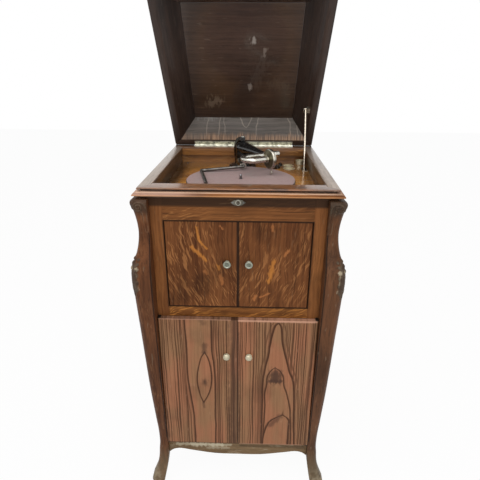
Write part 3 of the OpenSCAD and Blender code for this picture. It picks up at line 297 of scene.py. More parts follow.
# %% The group for quarter-sawn oak
oak_group, given = new_group(
    "oak_figure",
    [("Vector", "Vector", None), ("Fleck Vector", "Vector", None), ("Waviness", "Float", 0.02),
     ("Fleck Patches", "Float", 0.45)],
    [("Tone", "Float"), ("Fleck", "Float"), ("Pore", "Float"), ("Height", "Float")],
)
tree, board = oak_group, given["Vector"]
sway = minus(tree, cloud(tree, board, (14, 14, 9)), 0.5)
swayed = vec(tree, "ADD", board, join(tree, times(tree, sway, given["Waviness"])))
bands = cloud(tree, swayed, (150, 150, 2.2), 3)
broad = cloud(tree, board, (9, 9, 3.5))
tone = plus(tree, times(tree, bands, 0.5), times(tree, broad, 0.5))
ripple = minus(tree, cloud(tree, board, (34, 34, 42), 1), 0.5)
leaning = vec(tree, "ADD", given["Fleck Vector"], join(tree, times(tree, ripple, 0.014)))
short = span(tree, cloud(tree, leaning, (290, 290, 34), 1), 0.59, 0.66)
elsewhere = vec(tree, "ADD", leaning, (3.1, 0, 7.7))
long = span(tree, cloud(tree, elsewhere, (170, 170, 17), 1), 0.60, 0.66)
strokes = most(tree, short, times(tree, long, 0.9))
patch = span(tree, cloud(tree, board, (15, 15, 8), 1), given["Fleck Patches"], 0.6)
pore = span(tree, cloud(tree, swayed, (600, 600, 18), 1), 0.57, 0.68)
height = minus(tree, times(tree, bands, 0.35), times(tree, pore, 0.8))
give(tree, Tone=span(tree, tone, 0.3, 0.7), Fleck=times(tree, strokes, patch), Pore=pore, Height=height)

# %% The group for a streak from one place to another
streak_group, given = new_group(
    "streak",
    [("Vector", "Vector", None), ("Start", "Vector", None), ("End", "Vector", None), ("Width", "Float", 0.005),
     ("Ragged", "Float", 0.5)],
    [("Mask", "Float")],
)
tree = streak_group
along = vec(tree, "SUBTRACT", given["End"], given["Start"])
away = vec(tree, "SUBTRACT", given["Vector"], given["Start"])
ends = {0: vec(tree, "DOT_PRODUCT", away, along, "Value"), 1: vec(tree, "DOT_PRODUCT", along, along, "Value")}
share = put(tree, "ShaderNodeMath", ends, operation="DIVIDE", use_clamp=True).outputs[0]
nearest = put(tree, "ShaderNodeVectorMath", {0: along, "Scale": share}, operation="SCALE").outputs[0]
far = vec(tree, "LENGTH", vec(tree, "SUBTRACT", away, nearest), output="Value")
torn = minus(tree, cloud(tree, given["Vector"], (140, 140, 60)), 0.5)
reach = times_plus(tree, times(tree, torn, given["Ragged"]), 4.0, 1.0)
limit = times(tree, given["Width"], most(tree, reach, 0.02))
give(tree, Mask=span(tree, far, limit, times(tree, limit, 0.15)))

# %% The group for a line round a rectangle
line_group, given = new_group(
    "line_round",
    [("Vector", "Vector", None), ("Centre", "Vector", None), ("Half", "Vector", None), ("Width", "Float", 0.003)],
    [("Mask", "Float")],
)
tree = line_group
off = vec(tree, "ABSOLUTE", vec(tree, "SUBTRACT", given["Vector"], given["Centre"]))
past_x, _, past_z = split(tree, vec(tree, "SUBTRACT", off, given["Half"]))
edge = calc(tree, "ABSOLUTE", most(tree, past_x, past_z))
give(tree, Mask=span(tree, edge, given["Width"], times(tree, given["Width"], 0.3)))

# %% The group for wear and grime
wear_group, given = new_group(
    "wear_and_grime",
    [("Vector", "Vector", None), ("Colour", "Color", (0.2, 0.1, 0.05, 1)), ("Worn Colour", "Color", (0.4, 0.3, 0.2, 1)),
     ("Grime Colour", "Color", (0.03, 0.02, 0.012, 1)), ("Edge", "Float", 0.0), ("Scuffs", "Float", 0.2),
     ("Grime", "Float", 0.3)],
    [("Colour", "Color"), ("Dulled", "Float")],
)
tree, board = wear_group, given["Vector"]
rubbed = times(tree, given["Edge"], span(tree, cloud(tree, board, (48, 48, 48), 3), 0.38, 0.62))
scratch = span(tree, cloud(tree, board, (120, 120, 23)), 0.66, 0.74)
worn = most(tree, rubbed, times(tree, scratch, given["Scuffs"]))
dirty = times(tree, span(tree, cloud(tree, board, (13, 13, 9), 3), 0.5, 0.75), given["Grime"])
grimed = blend_colour(tree, dirty, given["Colour"], given["Grime Colour"])
give(tree, Colour=blend_colour(tree, worn, grimed, given["Worn Colour"]), Dulled=most(tree, worn, dirty))

# %% A wood made with these groups
GRAIN_TURN = {"z": (0, 0, 0), "x": (0, math.pi / 2, 0), "y": (math.pi / 2, 0, 0)}
PORE_SHADE, GRIME_SHADE = 0.45, 0.4


def finish_wood(tree, vector, colour, height, dark, worn=(150, 118, 86), scuffs=0.15, grime=0.35, rough=0.5,
                coat=0.0, shine=0.1):
    """Adds wear, polish and the small relief of the grain."""
    hand = use(tree, wear_group, Vector=vector, Colour=colour, Edge=stored(tree, "edge"), Worn_Colour=srgb(*worn),
               Grime_Colour=srgb(*[c * GRIME_SHADE for c in dark]), Scuffs=scuffs, Grime=grime)
    surface(tree, height, 0.25, 0.0006, {
        "Base Color": hand["Colour"], "Roughness": times_plus(tree, hand["Dulled"], 0.25, rough),
        "Specular IOR Level": shine, "Coat Weight": coat, "Coat Roughness": 0.12})


def wood(name, dark, light, grain="z", fleck=None, fleck_amount=0.0, patches=0.45, flow=None, extra=None, **finish):
    """Oak of two tones. flow leans the flecks, more with depth; extra paints over the figure."""
    material, tree, place = new_material(name)
    turned = {"Vector": place, "Rotation": GRAIN_TURN.get(grain, grain)}
    vector = put(tree, "ShaderNodeMapping", turned).outputs[0]
    leaning = vector
    if flow:
        lean, bend, top = flow
        deep = minus(tree, top, split(tree, vector)[2])
        drift = times(tree, deep, times_plus(tree, deep, -bend, -lean))
        leaning = vec(tree, "ADD", vector, join(tree, drift))
    board = stored(tree, "board")
    number = join(tree, board, board, board)
    vector = vec(tree, "ADD", vector, number)
    leaning = vec(tree, "ADD", leaning, number)
    figure = use(tree, oak_group, Vector=vector, Fleck_Vector=leaning, Fleck_Patches=patches)
    colour = blend_colour(tree, figure["Tone"], srgb(*dark), srgb(*light))
    colour = tinted(tree, colour, fleck or light, figure["Fleck"], fleck_amount)
    colour = tinted(tree, colour, [c * PORE_SHADE for c in dark], figure["Pore"], 0.45)
    if extra:
        colour = extra(tree, place, colour)
    finish_wood(tree, vector, colour, figure["Height"], dark, **finish)
    return material


def mark(tree, place, colour, tint, start, end, width, strength=1.0, ragged=0.5):
    """Paints one streak in the plane of a board's face, between two places given as x and z."""
    flat = vec(tree, "MULTIPLY", place, (1, 0, 1))
    mask = use(tree, streak_group, Vector=flat, Start=(start[0], 0, start[1]), End=(end[0], 0, end[1]),
               Width=width, Ragged=ragged)["Mask"]
    return tinted(tree, colour, tint, mask, strength)


def outline(tree, place, colour, tint, centre, half, width, strength):
    """Paints a line round a rectangle, whose centre and half sizes are given as x and z."""
    mask = use(tree, line_group, Vector=place, Centre=(centre[0], 0, centre[1]), Half=(half[0], 0, half[1]),
               Width=width)["Mask"]
    return tinted(tree, colour, tint, mask, strength)


print("wood ready")

# %% [markdown]
# ## Boards with eased edges
# A real board's edges are rubbed round, and they catch the light. The solids' edges are sharp, so each
# board that shows is copied, its triangles are joined into whole faces, and its edges get a small
# bevel. The new faces carry an attribute that the wear group reads, so that the edges look rubbed.

# %% From a mesh to a piece
def mesh_of(name, verts, faces, outwards=False, bevel=0.0):
    """A mesh from its corners and faces. outwards turns all faces out, and with it bevel eases all edges."""
    mesh = bpy.data.meshes.new(name)
    mesh.from_pydata(verts, [], faces)
    if outwards:
        bm = bmesh.new()
        bm.from_mesh(mesh)
        bmesh.ops.recalc_face_normals(bm, faces=bm.faces)
        if bevel:
            bmesh.ops.bevel(bm, geom=bm.edges[:], offset=bevel, segments=2, profile=0.5, affect="EDGES")
        bm.to_mesh(mesh)
        bm.free()
    return mesh


def add_piece(mesh, materials, body, smooth_angle=None):
    """Makes a piece of a mesh, under the mesh's name, that moves with a body."""
    for material in materials:
        mesh.materials.append(material)
    if smooth_angle:
        mesh.shade_smooth()
        mesh.set_sharp_from_angle(angle=math.radians(smooth_angle))
    piece = bpy.data.objects.new(mesh.name, mesh)
    scene.collection.objects.link(piece)
    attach(piece, body)
    return piece


def stand_for(node, mesh, materials, smooth_angle=None):
    """A piece that replaces a node and takes its body."""
    piece = add_piece(mesh, materials, body_of_node[node], smooth_angle)
    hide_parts(node)
    return piece


def paint_node(node, material):
    node_of[node].data.materials.clear()
    node_of[node].data.materials.append(material)


print("helpers for pieces")

# %% Easing a node's edges
SHARP, FLAT = math.radians(35), math.radians(0.8)
BOARD_SHIFT = 1.37


def islands(bm):
    """The connected pieces of a mesh, each as a list of faces."""
    left, found = set(bm.faces), []
    while left:
        stack, group = [left.pop()], []
        while stack:
            face = stack.pop()
            group.append(face)
            for link in face.edges:
                for other in link.link_faces:
                    if other in left:
                        left.remove(other)
                        stack.append(other)
        found.append(group)
    return found


def eased(node, width, materials, pick=None, pick_face=None, smooth=False, seed=0.0):
    """A copy of a node with bevelled edges. pick chooses a board's material, pick_face may change a face's.

    The boards are numbered by their places, so that each gets the same figure in every run."""
    bm = bmesh.new()
    bm.from_mesh(node_of[node].data)
    bmesh.ops.remove_doubles(bm, verts=bm.verts, dist=1e-5)
    bmesh.ops.dissolve_limit(bm, angle_limit=FLAT, verts=bm.verts, edges=bm.edges)
    edges = [e for e in bm.edges if len(e.link_faces) == 2 and e.calc_face_angle() > SHARP]
    made = bmesh.ops.bevel(bm, geom=edges, offset=width, segments=2, profile=0.6, affect="EDGES", clamp_overlap=True)
    rim = set(made["faces"])
    edge_layer = bm.faces.layers.float.new("edge")
    board_layer = bm.faces.layers.float.new("board")
    boards = [(group, np.array([v.co for f in group for v in f.verts])) for group in islands(bm)]
    boards.sort(key=lambda board: tuple((board[1].min(0) + board[1].max(0)).round(4)))
    for number, (group, corners) in enumerate(boards):
        index = pick(corners.max(0) - corners.min(0), corners.mean(0)) if pick else 0
        for face in group:
            face[edge_layer] = 1.0 if face in rim else 0.0
            face[board_layer] = seed + number * BOARD_SHIFT
            face.material_index = pick_face(face.calc_center_median(), face.normal, index) if pick_face else index
            face.smooth = smooth
    mesh = bpy.data.meshes.new(node + "_eased")
    bm.to_mesh(mesh)
    bm.free()
    return stand_for(node, mesh, materials, 32 if smooth else None)


def along_x_or_y(size, middle):
    return 0 if size[0] >= size[1] else 1


print("easing ready")

# %% Tones of the case and the front
# The first two tints are painted shade: under the moulding, and in the gaps round the upper doors.
SHADE, GAP_SHADE_TINT, LINE_WIDTH = (50, 33, 21), (30, 19, 12), 0.0035
CASE_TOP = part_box("top_rail")[1].z
OPENING = ((0.0, 0.740), (0.1786, 0.118))


def shade_under_moulding(tree, place, colour):
    """A dark band under the moulding: painted shade of its overhang, with some grime."""
    band = span(tree, split(tree, place)[2], CASE_TOP - 0.0235, CASE_TOP - 0.0165)
    return tinted(tree, colour, SHADE, band, 0.9)


def gap_shade_round_doors(tree, place, colour):
    """The front boards also have painted shade: dark lines in the gaps round the upper doors."""
    return outline(tree, place, shade_under_moulding(tree, place, colour), GAP_SHADE_TINT, *OPENING, LINE_WIDTH, 0.85)


CASE_TONES = dict(dark=(84, 48, 23), light=(130, 82, 44), fleck=(172, 116, 66))
STILE_TONES = dict(CASE_TONES, dark=(94, 54, 26), light=(142, 91, 50))
HONEY_TONES = dict(dark=(92, 52, 22), light=(138, 88, 44), fleck=(190, 126, 60))
FINE = dict(grain="x", flow=(0.3, 0.0, 0.0), patches=0.36, extra=gap_shade_round_doors)
case_oak = {g: wood("case_oak_" + g, grain=g, fleck_amount=0.2, extra=shade_under_moulding, **CASE_TONES) for g in "xyz"}
stile_oak = wood("stile_oak", grain="z", fleck_amount=0.2, extra=gap_shade_round_doors, **STILE_TONES)
top_oak = wood("top_rail_oak", fleck_amount=0.5, **FINE, **CASE_TONES)
honey_rail = wood("honey_rail", fleck_amount=0.6, **FINE, **HONEY_TONES)
print("case and front oak, dark below", round(CASE_TOP, 4))

# %% Tones of the apron
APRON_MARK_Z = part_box("aprons")[1].z - 0.022
# Pale streaks along the apron's upper edge: from and to in x, how far down, width and strength.
APRON_STREAKS = [(-0.185, -0.10, 0.0, 0.009, 0.45), (-0.14, -0.05, 0.0, 0.011, 0.5),
                 (-0.085, -0.02, -0.001, 0.006, 0.5), (-0.09, -0.03, 0.012, 0.008, 0.3)]


def rubbed_and_shaded_top(tree, place, colour):
    """Feet and brooms have rubbed the apron's upper edge pale, most of all on the left; on the right a dark streak is
    painted shade under the right lower door.
    """
    for start, end, down, width, strength in APRON_STREAKS:
        z = APRON_MARK_Z - down
        colour = mark(tree, place, colour, (206, 196, 170), (start, z), (end, z), width, strength, 0.8)
    # A dark streak on the right: painted shade under the right lower door.
    return mark(tree, place, colour, (70, 54, 38), (0.01, APRON_MARK_Z), (0.20, APRON_MARK_Z), 0.008, 0.6)


APRON_TONES = dict(dark=(88, 68, 46), light=(130, 106, 77), fleck=(168, 150, 124), fleck_amount=0.5,
                   worn=(170, 160, 136), scuffs=0.4)
apron_oak = {g: wood("apron_oak_" + g, grain=g, **APRON_TONES) for g in "xy"}
front_apron = wood("front_apron_oak", grain="x", extra=rubbed_and_shaded_top, **APRON_TONES)
print("apron oak with", len(APRON_STREAKS), "pale streaks")

# %% Tones of the rim and the moulding
def rubbed_rim(tree, place, colour):
    """Hands have rubbed the middle of the rim down to orange wood."""
    middle = window(tree, split(tree, place)[0], -0.18, -0.12, 0.14, 0.20)
    patch = times(tree, span(tree, cloud(tree, place, (24, 70, 70), 3), 0.42, 0.55), middle)
    return tinted(tree, colour, (150, 94, 48), patch, 0.55)


def moulding_light_and_shade(tree, place, colour):
    """Painted light and shade: a dark cove, a pale highlight on the nose and another along the top, and a black groove
    above it; the moulding is also paler and pinker towards its left end.
    """
    x, _, z = split(tree, place)
    colour = tinted(tree, colour, (204, 170, 156), span(tree, x, -0.05, -0.16), 0.5)
    for low, high, tint, strength in MOULD_SHADE_AND_HIGHLIGHTS:
        band = window(tree, z, low - 0.0008, low + 0.0004, high - 0.0008, high + 0.0004)
        colour = tinted(tree, colour, tint, band, strength)
    return colour


MOULD_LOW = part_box("top_moulding")[0].z
GROOVE_Z = rim_low.z - 0.005
NOSE_Z = (MOULD_LOW + GROOVE_Z) / 2
# Bands of painted light and shade, as low, high, tint and strength: shade in the cove, highlights on the nose and the
# top line, and near-black shade in the groove.
MOULD_SHADE_AND_HIGHLIGHTS = [(MOULD_LOW - 0.01, NOSE_Z - 0.0010, (52, 36, 26), 0.9), (NOSE_Z, NOSE_Z + 0.0030, (200, 146, 100), 0.5),
               (GROOVE_Z - 0.0020, GROOVE_Z + 0.0003, (210, 176, 150), 0.75), (GROOVE_Z + 0.0005, 1.0, (10, 7, 6), 1.0)]
RIM_FINISH = dict(fleck=(190, 164, 136), fleck_amount=0.4, worn=(196, 180, 160), scuffs=0.4, rough=0.36, coat=0.35,
                  shine=0.5)
rim_x = wood("rim_oak_x", (88, 58, 40), (146, 104, 74), "x", extra=rubbed_rim, **RIM_FINISH)
# The side rims' pale grey is a worn finish with a painted reflection of the bright room.
rim_y = wood("rim_oak_y", (128, 108, 92), (178, 162, 148), "y", **RIM_FINISH)
mould_x, mould_y = (wood("mould_oak_" + g, (112, 66, 34), (188, 128, 78), g, (206, 150, 100), 0.5, 0.5, extra=moulding_light_and_shade,
                         worn=(196, 146, 104), rough=0.45, shine=0.12) for g in "xy")
print("rim and moulding oak, groove at", round(GROOVE_Z, 4))

# %% Tones of the inside and the deck
SPINDLE = joint_at["turntable_spin"]


def deck_shade_and_reflection(tree, place, colour):
    """The deck is honey-coloured round the turntable and darker near the walls, painted shade and dark reflection; a
    streak along the left wall is its painted shadow and reflection.
    """
    flat = vec(tree, "MULTIPLY", vec(tree, "SUBTRACT", place, tuple(SPINDLE)), (1.15, 0.85, 0))
    far = vec(tree, "LENGTH", flat, output="Value")
    far = times_plus(tree, cloud(tree, place, (11, 11, 11)), 0.08, far)
    colour = tinted(tree, colour, (84, 56, 32), span(tree, far, 0.21, 0.28), 0.6)
    shade = use(tree, streak_group, Vector=vec(tree, "MULTIPLY", place, (1, 1, 0)), Start=(-0.205, -0.16, 0),
                End=(-0.195, 0.24, 0), Width=0.036, Ragged=0.3)["Mask"]
    return tinted(tree, colour, (62, 44, 28), shade, 0.75)


# Inside the case the oak has a shaded and a lit copy: darker, as painted shade, on the walls that face away from the
# light, and golden on the back wall, which faces it.
inside_shaded = wood("inside_dark_oak", (52, 36, 24), (84, 58, 38), "y", (108, 78, 52), 0.4, rough=0.3, coat=0.3,
                   shine=0.4)
inside_lit = wood("inside_honey_oak", (110, 70, 32), (166, 112, 58), "x", (196, 142, 82), 0.5, rough=0.34,
                    coat=0.25, shine=0.4)
deck_oak = wood("deck_oak", (180, 114, 48), (242, 172, 82), "x", (236, 180, 104), 0.5, extra=deck_shade_and_reflection,
                worn=(210, 160, 100), scuffs=0.1, grime=0.3, rough=0.24, coat=0.6, shine=0.5)
print("inside and deck oak, golden round", tuple(round(x, 3) for x in SPINDLE))

# %% The case's boards
EASE, EASE_THIN, EASE_RIM = 0.0011, 0.0006, 0.0008


def inner_face(middle, normal, index):
    """The faces that look into the case: 2 on the back board, 1 on the others."""
    if normal.y < -0.9 and middle.y > CASE_Y:
        return 2
    return 1 if (normal.y > 0.9 and middle.y < CASE_Y) or (abs(normal.x) > 0.9 and normal.x * middle.x < 0) else 0


def apron_face(middle, normal, index):
    return 2 if normal.y < -0.5 and middle.y < CASE_Y - 0.2 else index


def moulding_face(middle, normal, index):
    return (index, 3, 2)[inner_face(middle, normal, index)]


eased("front_stiles", EASE, [stile_oak], seed=0.3)
eased("top_rail", EASE, [top_oak], seed=2.1)
eased("middle_rail", EASE, [honey_rail], seed=4.7)
eased("side_panels", EASE, [case_oak["z"], inside_shaded], pick_face=inner_face, seed=6.2)
eased("back_panel", EASE, [case_oak["z"], inside_shaded, inside_lit], pick_face=inner_face, seed=8.9)
eased("aprons", EASE, [apron_oak["x"], apron_oak["y"], front_apron], along_x_or_y, apron_face, seed=9.4)
eased("top_rim", EASE_RIM, [rim_x, rim_y], along_x_or_y, smooth=True, seed=3.3)
eased("top_moulding", EASE_THIN, [mould_x, mould_y, inside_lit, inside_shaded], along_x_or_y, moulding_face,
      smooth=True, seed=5.1)
eased("motor_board", EASE_THIN, [deck_oak], seed=1.9)
for name in ("floor_board", "horn_shelf", "record_dividers", "deck_blocks", "horn_boards"):
    paint_node(name, case_oak["x" if name in ("floor_board", "horn_shelf") else "y"])

# %% [markdown]
# ## Carved posts
# Each corner post swells at the knee and curls at the top. The solid gives its outline, level by
# level. A finer skin is drawn through those levels, and a relief is added to it: a scroll at the top
# whose border runs down and turns back, a leaf with berries on the knee, and a groove beside the case.
# The relief also goes into attributes, so the colour can be paler on the high parts and dark below, with painted shade
# in the groove.

# %% The posts' outline
MM = 0.001
post_points = np.array([v.co for v in node_of["front_posts"].data.vertices])
post_points = post_points[post_points[:, 0] > 0]
POST_IN_X = post_points[:, 0].min()
POST_IN_Y = abs(post_points[:, 1] - CASE_Y).min()
levels = np.unique(post_points[:, 2].round(4))
near = [post_points[abs(post_points[:, 2] - z) < 1e-4, 0] - POST_IN_X for z in levels]
post_out, post_in = (np.array([f(n) for n in near]) for f in (np.max, np.min))


def smooth_through(xs, ys, at):
    """A cubic through the given levels."""
    slope = np.gradient(ys, xs)
    k = np.clip(np.searchsorted(xs, at) - 1, 0, len(xs) - 2)
    h = xs[k + 1] - xs[k]
    t = (at - xs[k]) / h
    left = (2 * t ** 3 - 3 * t ** 2 + 1) * ys[k] + (t ** 3 - 2 * t ** 2 + t) * h * slope[k]
    return left + (3 * t ** 2 - 2 * t ** 3) * ys[k + 1] + (t ** 3 - t ** 2) * h * slope[k + 1]


def step(value, low, high):
    t = np.clip((value - low) / (high - low), 0, 1)
    return t * t * (3 - 2 * t)


def near_path(s, z, path):
    """Distance of each point to a path of straight pieces."""
    best = np.full(s.shape, 1e9)
    for (s0, z0), (s1, z1) in zip(path, path[1:]):
        ds, dz = s1 - s0, z1 - z0
        t = np.clip(((s - s0) * ds + (z - z0) * dz) / (ds * ds + dz * dz), 0, 1)
        best = np.minimum(best, np.hypot(s - s0 - t * ds, z - z0 - t * dz))
    return best


print("post outline from", len(levels), "levels")

# %% The relief, in millimetres
EYE, CURL_R, CURL_SHRINK, CURL_TURN, CURL_STEPS = (20.5, 897.5), 11.6, 8.4, 3.3 * math.pi, 40
curl = []
for t in np.arange(CURL_STEPS + 1) / CURL_STEPS:
    r = CURL_R - CURL_SHRINK * t
    curl.append((EYE[0] + r * math.sin(CURL_TURN * t), EYE[1] + r * math.cos(CURL_TURN * t)))
border = [(6.2, 831.0), (3.4, 835.0), (2.6, 845.0), (2.5, 880.0), (2.8, 898.0), (6.0, 905.5), (12.0, 908.6)] + curl
inner_border = [(6.2, 831.0), (9.0, 835.0), (9.8, 845.0), (10.0, 866.0), (10.8, 880.0), (14.5, 886.5)]
SCROLL_HIGH, SCROLL_HALF = 2.1, 2.0
LEAF_LOW, LEAF_HIGH, LEAF_HALF = 665.0, 770.0, 15.0
BERRIES, BERRY_C = ((741.0, 5.5), (754.0, 4.4), (765.0, 3.6)), 9.0
GROOVE_DEEP, GROOVE_S, GROOVE_HALF = 1.3, 2.2, 1.7


def relief(s, c, z):
    """The carving's height, its dark and its rubbed parts. s runs from the inner edge, c from the corner."""
    to_border = np.minimum(near_path(s, z, border), near_path(s, z, inner_border))
    scroll = SCROLL_HIGH * np.clip(1 - (to_border / SCROLL_HALF) ** 2, 0, 1)
    t = np.clip((z - LEAF_LOW) / (LEAF_HIGH - LEAF_LOW), 0, 1)
    half = LEAF_HALF * np.sin(np.pi * t ** 0.85) ** 0.7 * (1 + 0.13 * np.cos(10 * np.pi * t))
    inside = step(half - abs(c), 0.0, 1.8) * ((z > LEAF_LOW) & (z < LEAF_HIGH))
    share = abs(c) / np.maximum(half, 1)
    side_veins = 0.7 * step(np.cos((z - 1.1 * abs(c)) * 2 * np.pi / 11), 0.55, 0.95)
    vein = np.maximum(step(1.6 - abs(c), 0, 1.2), side_veins)
    leaf = inside * (1.5 + 1.1 * share ** 2 - 0.9 * vein)
    berry = np.zeros(s.shape)
    for at, r in BERRIES:
        dome = np.sqrt(np.clip(r * r - (abs(c) - BERRY_C) ** 2 - (z - at) ** 2, 0, None))
        berry = np.maximum(berry, 0.75 * dome)
    stem = (abs(abs(c) - BERRY_C - (BERRIES[0][0] - z) * 0.1) < 1.1) & (z > 686) & (z < 736)
    rubbed = np.maximum((berry > 0.3) & (z < 747), 0.6 * stem)
    groove = GROOVE_DEEP * np.clip(1 - ((s - GROOVE_S) / GROOVE_HALF) ** 2, 0, 1)
    groove = groove * step(z, 160, 168) * step(z, 834, 828)
    return np.maximum(np.maximum(scroll, leaf), berry) - groove, np.maximum(inside, berry > 0), rubbed


print("scroll path of", len(border) + len(inner_border), "points,", 2 * len(BERRIES), "berries on a knee")

# %% The posts' skin
RING_IN, RING_FACE, RING_ARC = 5, 24, 20
CORNER_SHARE = 0.45
COARSE, FINE_FROM, FINE_STEP, FINE_TO = 0.008, 0.640, 0.0018, 0.9139
heights = np.concatenate([np.arange(0, FINE_FROM, COARSE), np.arange(FINE_FROM, FINE_TO, FINE_STEP), [levels[-1]]])
out_at = smooth_through(levels, post_out, heights)
in_at = np.clip(smooth_through(levels, post_in, heights), 0, None)


def post_ring(o, i):
    """Places round one level: a and b outwards, the way that each faces, s and c, all in metres."""
    r = CORNER_SHARE * (o - i)
    flat = o - i - r
    t_in, t_face = np.arange(RING_IN) / RING_IN, np.arange(RING_FACE) / RING_FACE
    bend = np.arange(RING_ARC) / RING_ARC * math.pi / 2
    round_a, round_b = o - r + r * np.cos(bend), o - r + r * np.sin(bend)
    none, ones = np.zeros(RING_IN), np.ones(RING_FACE)
    rows = [
        (i + (o - i) * t_in, i + none, none, none - 1, none, none),
        (o * ones, i + flat * t_face, ones, 0 * ones, flat * t_face, -(r * math.pi / 4 + flat * (1 - t_face))),
        (round_a, round_b, np.cos(bend), np.sin(bend), np.minimum(round_a, round_b) - i, r * (bend - math.pi / 4)),
        (o - r - flat * t_face, o * ones, 0 * ones, ones, flat * (1 - t_face), r * math.pi / 4 + flat * t_face),
        (i + none, o - (o - i) * t_in, none - 1, none, none, none),
    ]
    return [np.concatenate(column) for column in zip(*rows)]


rings = [post_ring(o, i) for o, i in zip(out_at, in_at)]
a, b, face_a, face_b, s, c = (np.array([r[k] for r in rings]) for k in range(6))
ring_size = a.shape[1]
outer = np.zeros(ring_size)
outer[RING_IN:RING_IN + 2 * RING_FACE + RING_ARC + 1] = 1
z_grid = np.repeat(heights[:, None], ring_size, 1)
carving, dark_part, rubbed_part = relief(s / MM, c / MM, z_grid / MM)
carving = carving * outer * step(s, 0.0, 0.0012)
rows_a, rows_b = a + face_a * carving * MM, b + face_b * carving * MM
toes = 0.6 * step(heights, 0.075, 0.02)[:, None] * outer
raised = np.clip(np.maximum(np.maximum(0.18 * carving / 2.6, toes), rubbed_part * outer), 0, 1)
# The groove's depth, which sets the near-black painted shade in it.
sunk = np.clip(-carving / 1.2, 0, 1)
carved = np.clip(np.maximum(dark_part, step(z_grid, 0.868, 0.892)), 0, 1) * outer
print("post skin of", len(heights), "rings of", ring_size, "points")

# %% The posts
post_faces = []
for k in range(len(heights) - 1):
    low, high = k * ring_size, (k + 1) * ring_size
    for j in range(ring_size):
        n = (j + 1) % ring_size
        post_faces.append((low + j, low + n, high + n, high + j))
post_faces += [tuple(range(ring_size))[::-1], tuple((len(heights) - 1) * ring_size + j for j in range(ring_size))]


def carved_tint(tree, place, colour):
    """Olive on the right and on the feet, dark in the carving, and near-black painted shade in its grooves."""
    x, _, z = split(tree, place)
    colour = tinted(tree, colour, (66, 54, 40), span(tree, x, -0.1, 0.1), 0.28)
    colour = tinted(tree, colour, (112, 102, 80), span(tree, z, 0.16, 0.04), 0.55)
    colour = tinted(tree, colour, (52, 45, 36), stored(tree, "carved"), 0.7)
    return tinted(tree, colour, (22, 13, 9), stored(tree, "sunk"))


post_oak = wood("post_oak", (72, 42, 24), (116, 72, 44), "z", (140, 98, 66), 0.3, worn=(164, 150, 126), grime=0.4,
                rough=0.45, shine=0.12, extra=carved_tint)
for node, sy in (("front_posts", -1), ("rear_posts", 1)):
    verts, faces = [], []
    for sx in (-1, 1):
        start = len(verts)
        x, y = sx * (POST_IN_X + rows_a), CASE_Y + sy * (POST_IN_Y + rows_b)
        verts += np.stack([x.ravel(), y.ravel(), z_grid.ravel()], 1).tolist()
        faces += [tuple(start + k for k in (f if sx * sy > 0 else f[::-1])) for f in post_faces]
    mesh = mesh_of(node + "_carved", verts, faces)
    board = np.full(z_grid.shape, 1.7 + sy)
    for label, values in (("edge", raised), ("carved", carved), ("sunk", sunk), ("board", board)):
        both_posts = np.tile(values.ravel(), 2).astype(np.float32)
        mesh.attributes.new(label, "FLOAT", "POINT").data.foreach_set("value", both_posts)
    stand_for(node, mesh, [post_oak], 50)
print("carved posts with", 4 * len(post_faces), "faces")

# %% [markdown]
# ## Doors
# The upper doors are quarter-sawn, with flecks that lean outwards more and more towards the bottom,
# and a few large golden patches. The lower doors are plain-sawn: the growth rings meet the face in
# long arches. Each arch is given by two smooth curves, its centre and its half width from the top of
# the door to the bottom, and the lines beside it follow its shape.

# %% Upper doors
UPPER_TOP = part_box("upper_left_door")[1].z
GOLD, ROSE = (184, 118, 52), (168, 106, 60)
# Golden and rosy patches: colour, start and end as x and z, and width.
UPPER_MARKS = {
    "left": [(GOLD, (-0.1005, 0.842), (-0.094, 0.806), 0.00504), (GOLD, (-0.094, 0.806), (-0.077, 0.786), 0.00408),
             (GOLD, (-0.113, 0.790), (-0.078, 0.754), 0.0066), (ROSE, (-0.083, 0.724), (-0.078, 0.716), 0.0060),
             (GOLD, (-0.050, 0.740), (-0.048, 0.732), 0.0060), (ROSE, (-0.044, 0.712), (-0.040, 0.690), 0.0072),
             (ROSE, (-0.042, 0.846), (-0.038, 0.838), 0.00408)],
    "right": [(ROSE, (0.0835, 0.846), (0.084, 0.836), 0.0060), (GOLD, (0.088, 0.752), (0.078, 0.700), 0.00816),
              (ROSE, (0.122, 0.782), (0.114, 0.770), 0.0060), (ROSE, (0.044, 0.655), (0.041, 0.645), 0.0060),
              (ROSE, (0.080, 0.664), (0.056, 0.652), 0.00384)],
}
UPPER_TONES = dict(dark=(80, 44, 21), light=(122, 75, 41), fleck=(168, 114, 68), fleck_amount=0.6, patches=0.32,
                   grime=0.45)


def upper_paint(side):
    """Patches, and painted shade: a dark line in the gap round the opening and a darker one where the doors meet."""
    def paint(tree, place, colour):
        for tint, start, end, width in UPPER_MARKS[side]:
            colour = mark(tree, place, colour, tint, start, end, width, 0.7, 1.0)
        colour = outline(tree, place, colour, GAP_SHADE_TINT, *OPENING, LINE_WIDTH, 0.8)
        return mark(tree, place, colour, (26, 18, 14), (0, 0.5), (0, 1.0), 0.0055, 0.9, 0.1)
    return paint


for side, sign, seed in (("left", 1, 0.9), ("right", -1, 3.6)):
    flow = (0.1 * sign, 0.9 * sign, UPPER_TOP)
    oak = wood("upper_door_oak_" + side, flow=flow, extra=upper_paint(side), **UPPER_TONES)
    eased("upper_" + side + "_door", EASE, [oak], seed=seed)
print("2 upper doors with", sum(len(m) for m in UPPER_MARKS.values()), "patches")

# %% The group for one arched growth ring
arch_group, given = new_group(
    "arch_line",
    [("Across", "Float", 0.0), ("Centre", "Float", 0.1), ("Half", "Float", 0.02), ("Width", "Float", 0.004)],
    [("Line", "Float"), ("Away", "Float")],
)
tree, wide = arch_group, given["Width"]
apart = calc(tree, "ABSOLUTE", minus(tree, given["Across"], given["Centre"]))
away = minus(tree, apart, given["Half"])
give(tree, Line=window(tree, away, times(tree, wide, -0.3), 0.0, times(tree, wide, 0.15), wide), Away=away)

